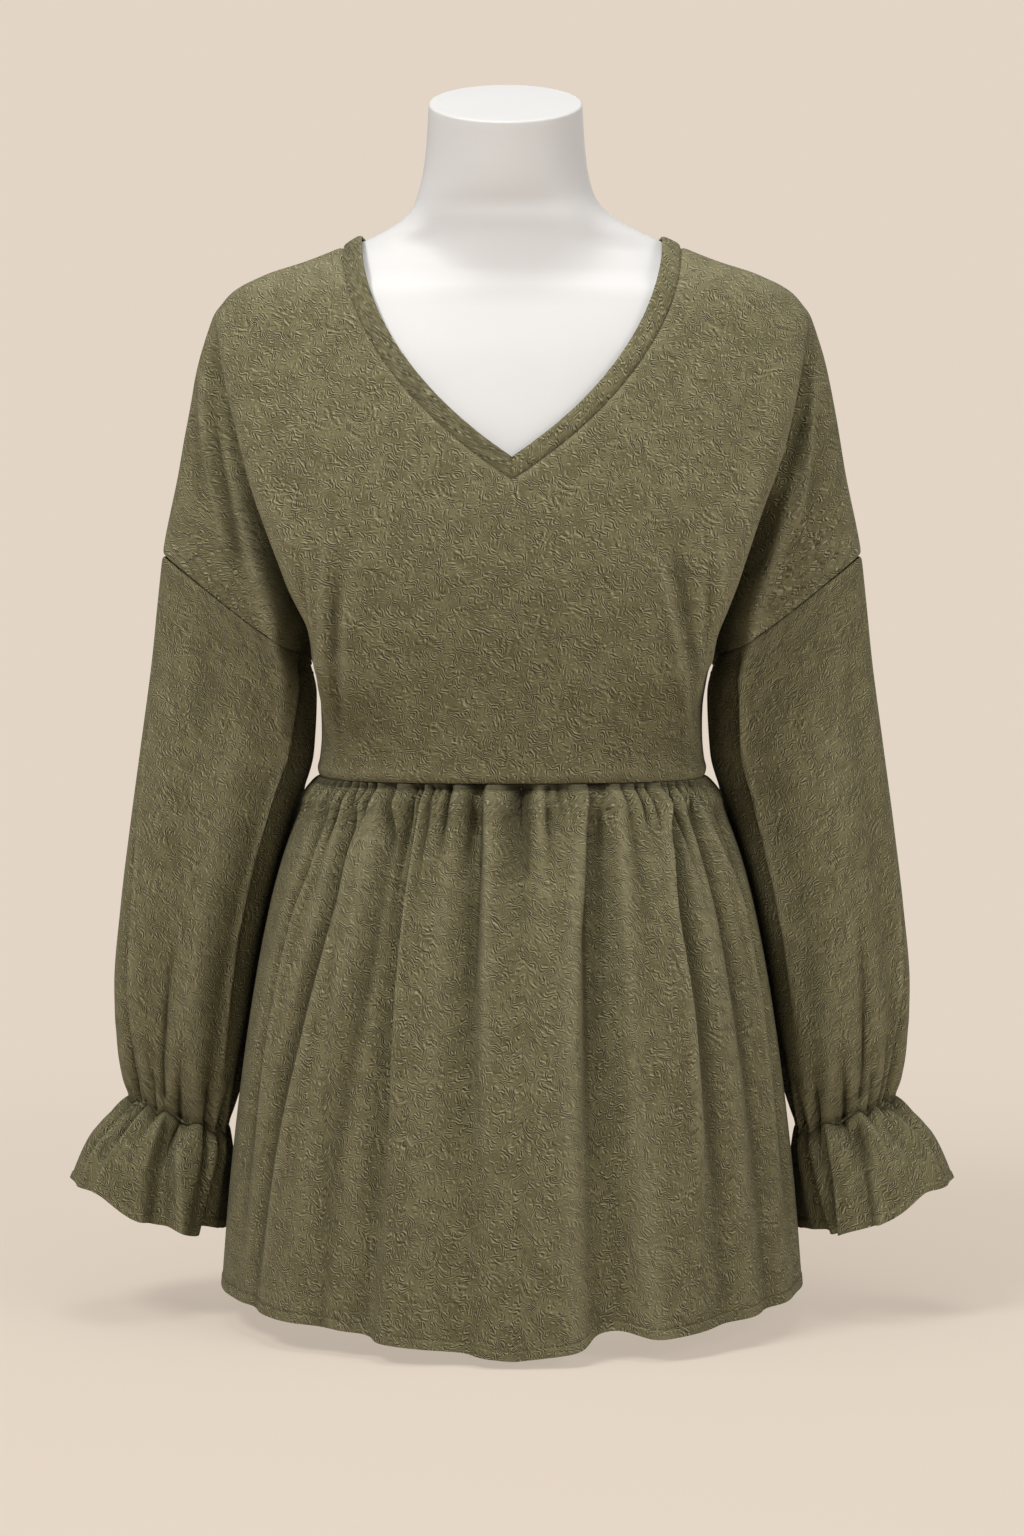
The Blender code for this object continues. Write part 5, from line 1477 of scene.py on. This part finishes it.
def form_finish(settings):
    """Smooth white form with the faintest uneven sheen."""
    finish = new_material("form_white")
    place = finish.node("ShaderNodeTexCoord", None, None, output=3)
    cloud = finish.noise(place, 14.0, detail=3.0)
    grain = finish.noise(place, 900.0, detail=2.0)
    colour = finish.mixed(cloud.between(0.2, 0.8), settings.shade_colour, settings.colour)
    bump = finish.node("ShaderNodeBump", None, {"Strength": 0.25, "Distance": 0.0001, "Height": grain})
    shader = finish.node(
        "ShaderNodeBsdfPrincipled",
        None,
        {
            "Base Color": colour,
            "Roughness": 0.42 + 0.12 * cloud,
            "Metallic": 0.0,
            "Specular IOR Level": 0.4,
            "Normal": bump,
        },
    )
    return finish.out(shader)


def floor_finish(settings):
    """A pale floor that takes the form's soft shadow and glows like the plain backdrop further out."""
    finish = new_material("pale_floor")
    place = finish.node("ShaderNodeTexCoord", None, None, output=3)
    away = finish.node("ShaderNodeVectorMath", {"operation": "LENGTH"}, {0: place}, output=1)
    plain = 0.62 + 0.38 * away.between(0.35, 1.3)
    near = finish.node(
        "ShaderNodeBsdfPrincipled",
        None,
        {"Base Color": FLOOR_COLOUR, "Roughness": 0.9, "Specular IOR Level": 0.0},
    )
    glow = finish.node(
        "ShaderNodeEmission", None, {"Color": (*settings.backdrop, 1), "Strength": settings.backdrop_light}
    )
    return finish.out(finish.node("ShaderNodeMixShader", None, {0: plain, 1: near, 2: glow}))


def colour_property(name, description, default):
    return FloatVectorProperty(
        name=name, description=description, default=default, size=4, subtype="COLOR", min=0, max=1
    )


def length_property(name, description, default):
    return FloatProperty(
        name=name, description=description, default=default, min=0, precision=4, unit="LENGTH"
    )


def power_property(name, description, default):
    return FloatProperty(name=name, description=description, default=default, unit="POWER")


class ClothSettings(bpy.types.PropertyGroup):
    """Sizes and colours of the top's cloth, with the colours of its painted shade and highlight."""

    thickness: length_property("Thickness", "Thickness of the cloth's wall", 0.0013)
    hem_width: length_property("Hem width", "From a hem's edge up to its stitching", 0.0068)
    stitch_step: length_property("Stitch step", "From one stitch to the next", 0.0027)
    stitch_length: length_property("Stitch length", "Length of a stitch", 0.0019)
    stitch_width: length_property("Stitch width", "Width of a stitch", 0.0008)
    crinkle_length: length_property("Crinkle length", "Length of the crinkle's ridges", 0.0045)
    crinkle_pitch: length_property("Crinkle pitch", "Distance between the crinkle's ridges", 0.0017)
    crinkle_height: length_property("Crinkle height", "Height of the crinkle's ridges", 0.00028)
    colour: colour_property("Olive", "Colour of the cloth's ground", (0.160, 0.146, 0.075, 1))
    shade_colour: colour_property("Shaded olive", "Colour of its darker mottling", (0.122, 0.111, 0.055, 1))
    # Painted highlight on the crinkle's lit flanks and on fold ridges, and the light threads' tone
    light_thread_and_highlight_colour: colour_property("Light olive and highlight", "Colour of the crinkle's ridges", (0.345, 0.322, 0.205, 1))
    # Painted shade deep in the folds
    painted_fold_shade_colour: colour_property("Painted fold shade", "Colour deep in the folds", (0.050, 0.043, 0.019, 1))
    # Painted shade on the crinkle's dark flanks and dark threads, and the stitching thread's colour
    thread_colour_and_groove_shade: colour_property("Dark olive and groove shade", "Colour of the crinkle's grooves", (0.054, 0.048, 0.022, 1))


class FormSettings(bpy.types.PropertyGroup):
    """Sizes and colours of the dress form."""

    rim: length_property("Rim", "Radius of the cap's rounded rim", 0.0018)
    colour: colour_property("White", "Colour of the form", (0.670, 0.672, 0.680, 1))
    shade_colour: colour_property("Shaded white", "Its other shade", (0.650, 0.652, 0.660, 1))


class StageSettings(bpy.types.PropertyGroup):
    """Floor, lights and camera."""

    backdrop: FloatVectorProperty(
        name="Backdrop",
        description="Colour of floor and backdrop",
        default=(0.768, 0.665, 0.560),
        subtype="COLOR",
    )
    backdrop_light: FloatProperty(
        name="Backdrop light", description="Brightness of the backdrop", default=1.0
    )
    floor_reach: length_property("Floor reach", "Radius of the floor", 14.0)
    room_light: FloatProperty(
        name="Room light", description="Strength of the light from all round", default=0.18
    )
    key_power: power_property("Key light", "Power of the light above the camera", 63)
    top_power: power_property("Top light", "Power of the light overhead", 28)
    fill_power: power_property("Fill light", "Power of the light on the other side", 28)
    back_power: power_property("Back light", "Power of the light behind", 7)
    distance: length_property("Camera distance", "From the camera to the object's middle plane", 2.5)
    eye_height: length_property("Eye height", "Height of the camera", 0.551)


class DrapeBodice(bpy.types.Operator):
    """Drape the bodice's front and back"""

    bl_idname = "babydoll.bodice"
    bl_label = "Bodice"

    def execute(self, context):
        settings = context.scene.babydoll_cloth
        cloth = crinkled_cloth("bodice_crinkle", settings)
        v_row = sum(BODY_STEPS[:2])
        neck_row = sum(BODY_STEPS[:3])
        for name, *shape, area, flat in (
            ("bodice_front", -1, front_of, FRONT_NECKLINE, v_row, BODICE_FRONT_FOLDS, 0.165, (0.56, 0.40)),
            ("bodice_back", 1, back_of, BACK_NECKLINE, neck_row, BODICE_BACK_FOLDS, 0.174, (0.54, 0.40)),
        ):
            draped = bodice_cloth(*shape, settings.thickness)
            piece = add_piece(f"{name}_cloth", draped, cloth)
            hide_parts(name)
        return {"FINISHED"}


class BindNeck(bpy.types.Operator):
    """Bind the V-neck with its band"""

    bl_idname = "babydoll.neck_band"
    bl_label = "Neck band"

    def execute(self, context):
        settings = context.scene.babydoll_cloth
        cloth = crinkled_cloth("band_crinkle", settings)
        piece = add_piece("neck_band_cloth", band_cloth(settings.thickness), cloth)
        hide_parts("neck_band")
        return {"FINISHED"}


class HangSleeves(bpy.types.Operator):
    """Hang both sleeves with their gathers and ruffles"""

    bl_idname = "babydoll.sleeves"
    bl_label = "Sleeves and ruffles"

    def execute(self, context):
        settings = context.scene.babydoll_cloth
        cloth = crinkled_cloth("sleeve_crinkle", settings)
        thread = thread_finish(settings)
        sleeve_rows = ring_rows(SLEEVE_ROWS, 0.06, 0.16)
        ruffle_rows = ring_rows(RUFFLE_ROWS, 0.12, 0.16)
        for name, side, sleeve_folds, ruffle_folds in (
            ("left", 1, SLEEVE_LEFT_FOLDS, RUFFLE_LEFT_FOLDS),
            ("right", -1, SLEEVE_RIGHT_FOLDS, RUFFLE_RIGHT_FOLDS),
        ):

            def sleeve_at(along, share):
                return sleeve_place(along, share, sleeve_folds)

            def ruffle_at(along, share):
                return ruffle_place(along, share, ruffle_folds)

            hung = tube_cloth(sleeve_rows, SLEEVE_COLUMNS, sleeve_at, side, settings.thickness)
            sleeve = add_piece(f"sleeve_{name}_cloth", hung, cloth)
            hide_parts(f"sleeve_{name}")
            flared = tube_cloth(ruffle_rows, 2 * SLEEVE_COLUMNS, ruffle_at, side, settings.thickness)
            ruffle = add_piece(f"ruffle_{name}_cloth", flared, cloth)
            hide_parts(f"ruffle_{name}")
            run = 1 - settings.hem_width / RUFFLE_LENGTH
            sewn = hem_stitches(ruffle_at, run, RUFFLE_MIDDLE, side)
            stitching = add_piece(f"ruffle_{name}_stitching", sewn, thread)
        return {"FINISHED"}


class GatherSkirt(bpy.types.Operator):
    """Gather the skirt's front and back at the waist and hang them"""

    bl_idname = "babydoll.skirt"
    bl_label = "Skirt"

    def execute(self, context):
        settings = context.scene.babydoll_cloth
        cloth = crinkled_cloth("skirt_crinkle", settings)
        thread = bpy.data.materials["stitching_thread"]
        for name, way, folds, places in (
            ("skirt_front", -1, SKIRT_FRONT_FOLDS, FRONT_PINCHES),
            ("skirt_back", 1, SKIRT_BACK_FOLDS, BACK_PINCHES),
        ):
            gathers = pinches(places, *WAIST_GATHERS)
            along, turn = np.meshgrid(skirt_rows(), crowded_turns(folds), indexing="ij")

            def skirt_at(run, across):
                return skirt_place(run, across, way, folds, gathers)

            draped = new_cloth()
            place = skirt_at(along, turn)
            drape(draped, place, weave_map(place))
            face_outwards(draped)
            thicken(draped, settings.thickness)
            piece = add_piece(f"{name}_cloth", draped, cloth)
            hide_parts(name)
            run = 1 - settings.hem_width / SKIRT_LENGTH
            sewn = hem_stitches(skirt_at, run, (0, 0, 0))
            stitching = add_piece(f"{name}_stitching", sewn, thread)
        return {"FINISHED"}


class ShapeForm(bpy.types.Operator):
    """Shape the white dress form"""

    bl_idname = "babydoll.dress_form"
    bl_label = "Dress form"

    def execute(self, context):
        settings = context.scene.babydoll_form
        piece = add_piece("dress_form_skin", form_shape(settings.rim), form_finish(settings))
        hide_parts("dress_form")
        return {"FINISHED"}


def backdrop_world(settings):
    """The plain backdrop, which the camera sees brighter than it lights the room."""
    finish = Finish(bpy.data.worlds.new("backdrop"))
    backdrop = (*settings.backdrop, 1)
    room = finish.node("ShaderNodeBackground", None, {"Color": ROOM_COLOUR, "Strength": settings.room_light})
    seen = finish.node("ShaderNodeBackground", None, {"Color": backdrop, "Strength": settings.backdrop_light})
    by_camera = finish.node("ShaderNodeLightPath")
    either = finish.node("ShaderNodeMixShader", None, {0: by_camera, 1: room, 2: seen})
    return finish.out(either, "ShaderNodeOutputWorld")


def soft_light(name, power):
    """A large soft square light aimed at a point of the object's middle line."""
    place, target_height, width = LIGHTS[name]
    towards = Vector((0, 0, target_height)) - Vector(place)
    lamp = bpy.data.lights.new(name, "AREA")
    lamp.shape = "SQUARE"
    lamp.size = width
    lamp.energy = power
    lamp.color = LAMP_COLOUR
    holder = bpy.data.objects.new(name, lamp)
    holder.location = place
    holder.rotation_euler = towards.to_track_quat("-Z", "Y").to_euler()
    bpy.context.scene.collection.objects.link(holder)


class SetStage(bpy.types.Operator):
    """Set up the floor, the lights and the camera"""

    bl_idname = "babydoll.stage"
    bl_label = "Stage"

    def execute(self, context):
        settings = context.scene.babydoll_stage
        ground = bmesh.new()
        bmesh.ops.create_circle(ground, cap_ends=True, segments=96, radius=settings.floor_reach)
        mesh = bpy.data.meshes.new("floor")
        ground.to_mesh(mesh)
        ground.free()
        mesh.materials.append(floor_finish(settings))
        floor = bpy.data.objects.new("floor", mesh)
        context.scene.collection.objects.link(floor)
        context.scene.world = backdrop_world(settings)
        context.scene.view_settings.view_transform = "Standard"
        soft_light("key", settings.key_power)
        soft_light("top", settings.top_power)
        soft_light("fill", settings.fill_power)
        soft_light("back", settings.back_power)
        lens = bpy.data.cameras.new("camera")
        lens.sensor_fit = "VERTICAL"
        lens.sensor_height = SENSOR_HEIGHT
        lens.lens = LENS_LENGTH
        camera = bpy.data.objects.new("camera", lens)
        camera.location = (0, -settings.distance, settings.eye_height)
        camera.rotation_euler = (math.radians(90 - LOOK_DOWN), 0, 0)
        context.scene.collection.objects.link(camera)
        context.scene.camera = camera
        return {"FINISHED"}


OPERATORS = (DrapeBodice, BindNeck, HangSleeves, GatherSkirt, ShapeForm, SetStage)


class BabydollPanel(bpy.types.Panel):
    """The top's pieces and their settings"""

    bl_idname = "VIEW3D_PT_babydoll"
    bl_label = "Babydoll top"
    bl_space_type = "VIEW_3D"
    bl_region_type = "UI"
    bl_category = "Babydoll top"

    def draw(self, context):
        for operator in OPERATORS:
            self.layout.operator(operator.bl_idname)
        scene = context.scene
        for group in (scene.babydoll_cloth, scene.babydoll_form, scene.babydoll_stage):
            box = self.layout.box()
            for name in group.__annotations__:
                box.prop(group, name)


CLASSES = (ClothSettings, FormSettings, StageSettings, *OPERATORS, BabydollPanel)


def register():
    for kind in CLASSES:
        bpy.utils.register_class(kind)
    bpy.types.Scene.babydoll_cloth = PointerProperty(type=ClothSettings)
    bpy.types.Scene.babydoll_form = PointerProperty(type=FormSettings)
    bpy.types.Scene.babydoll_stage = PointerProperty(type=StageSettings)


def unregister():
    del bpy.types.Scene.babydoll_stage
    del bpy.types.Scene.babydoll_form
    del bpy.types.Scene.babydoll_cloth
    for kind in reversed(CLASSES):
        bpy.utils.unregister_class(kind)


def main():
    register()
    bpy.ops.babydoll.bodice()
    bpy.ops.babydoll.neck_band()
    bpy.ops.babydoll.sleeves()
    bpy.ops.babydoll.skirt()
    bpy.ops.babydoll.dress_form()
    bpy.ops.babydoll.stage()


if __name__ == "__main__":
    main()
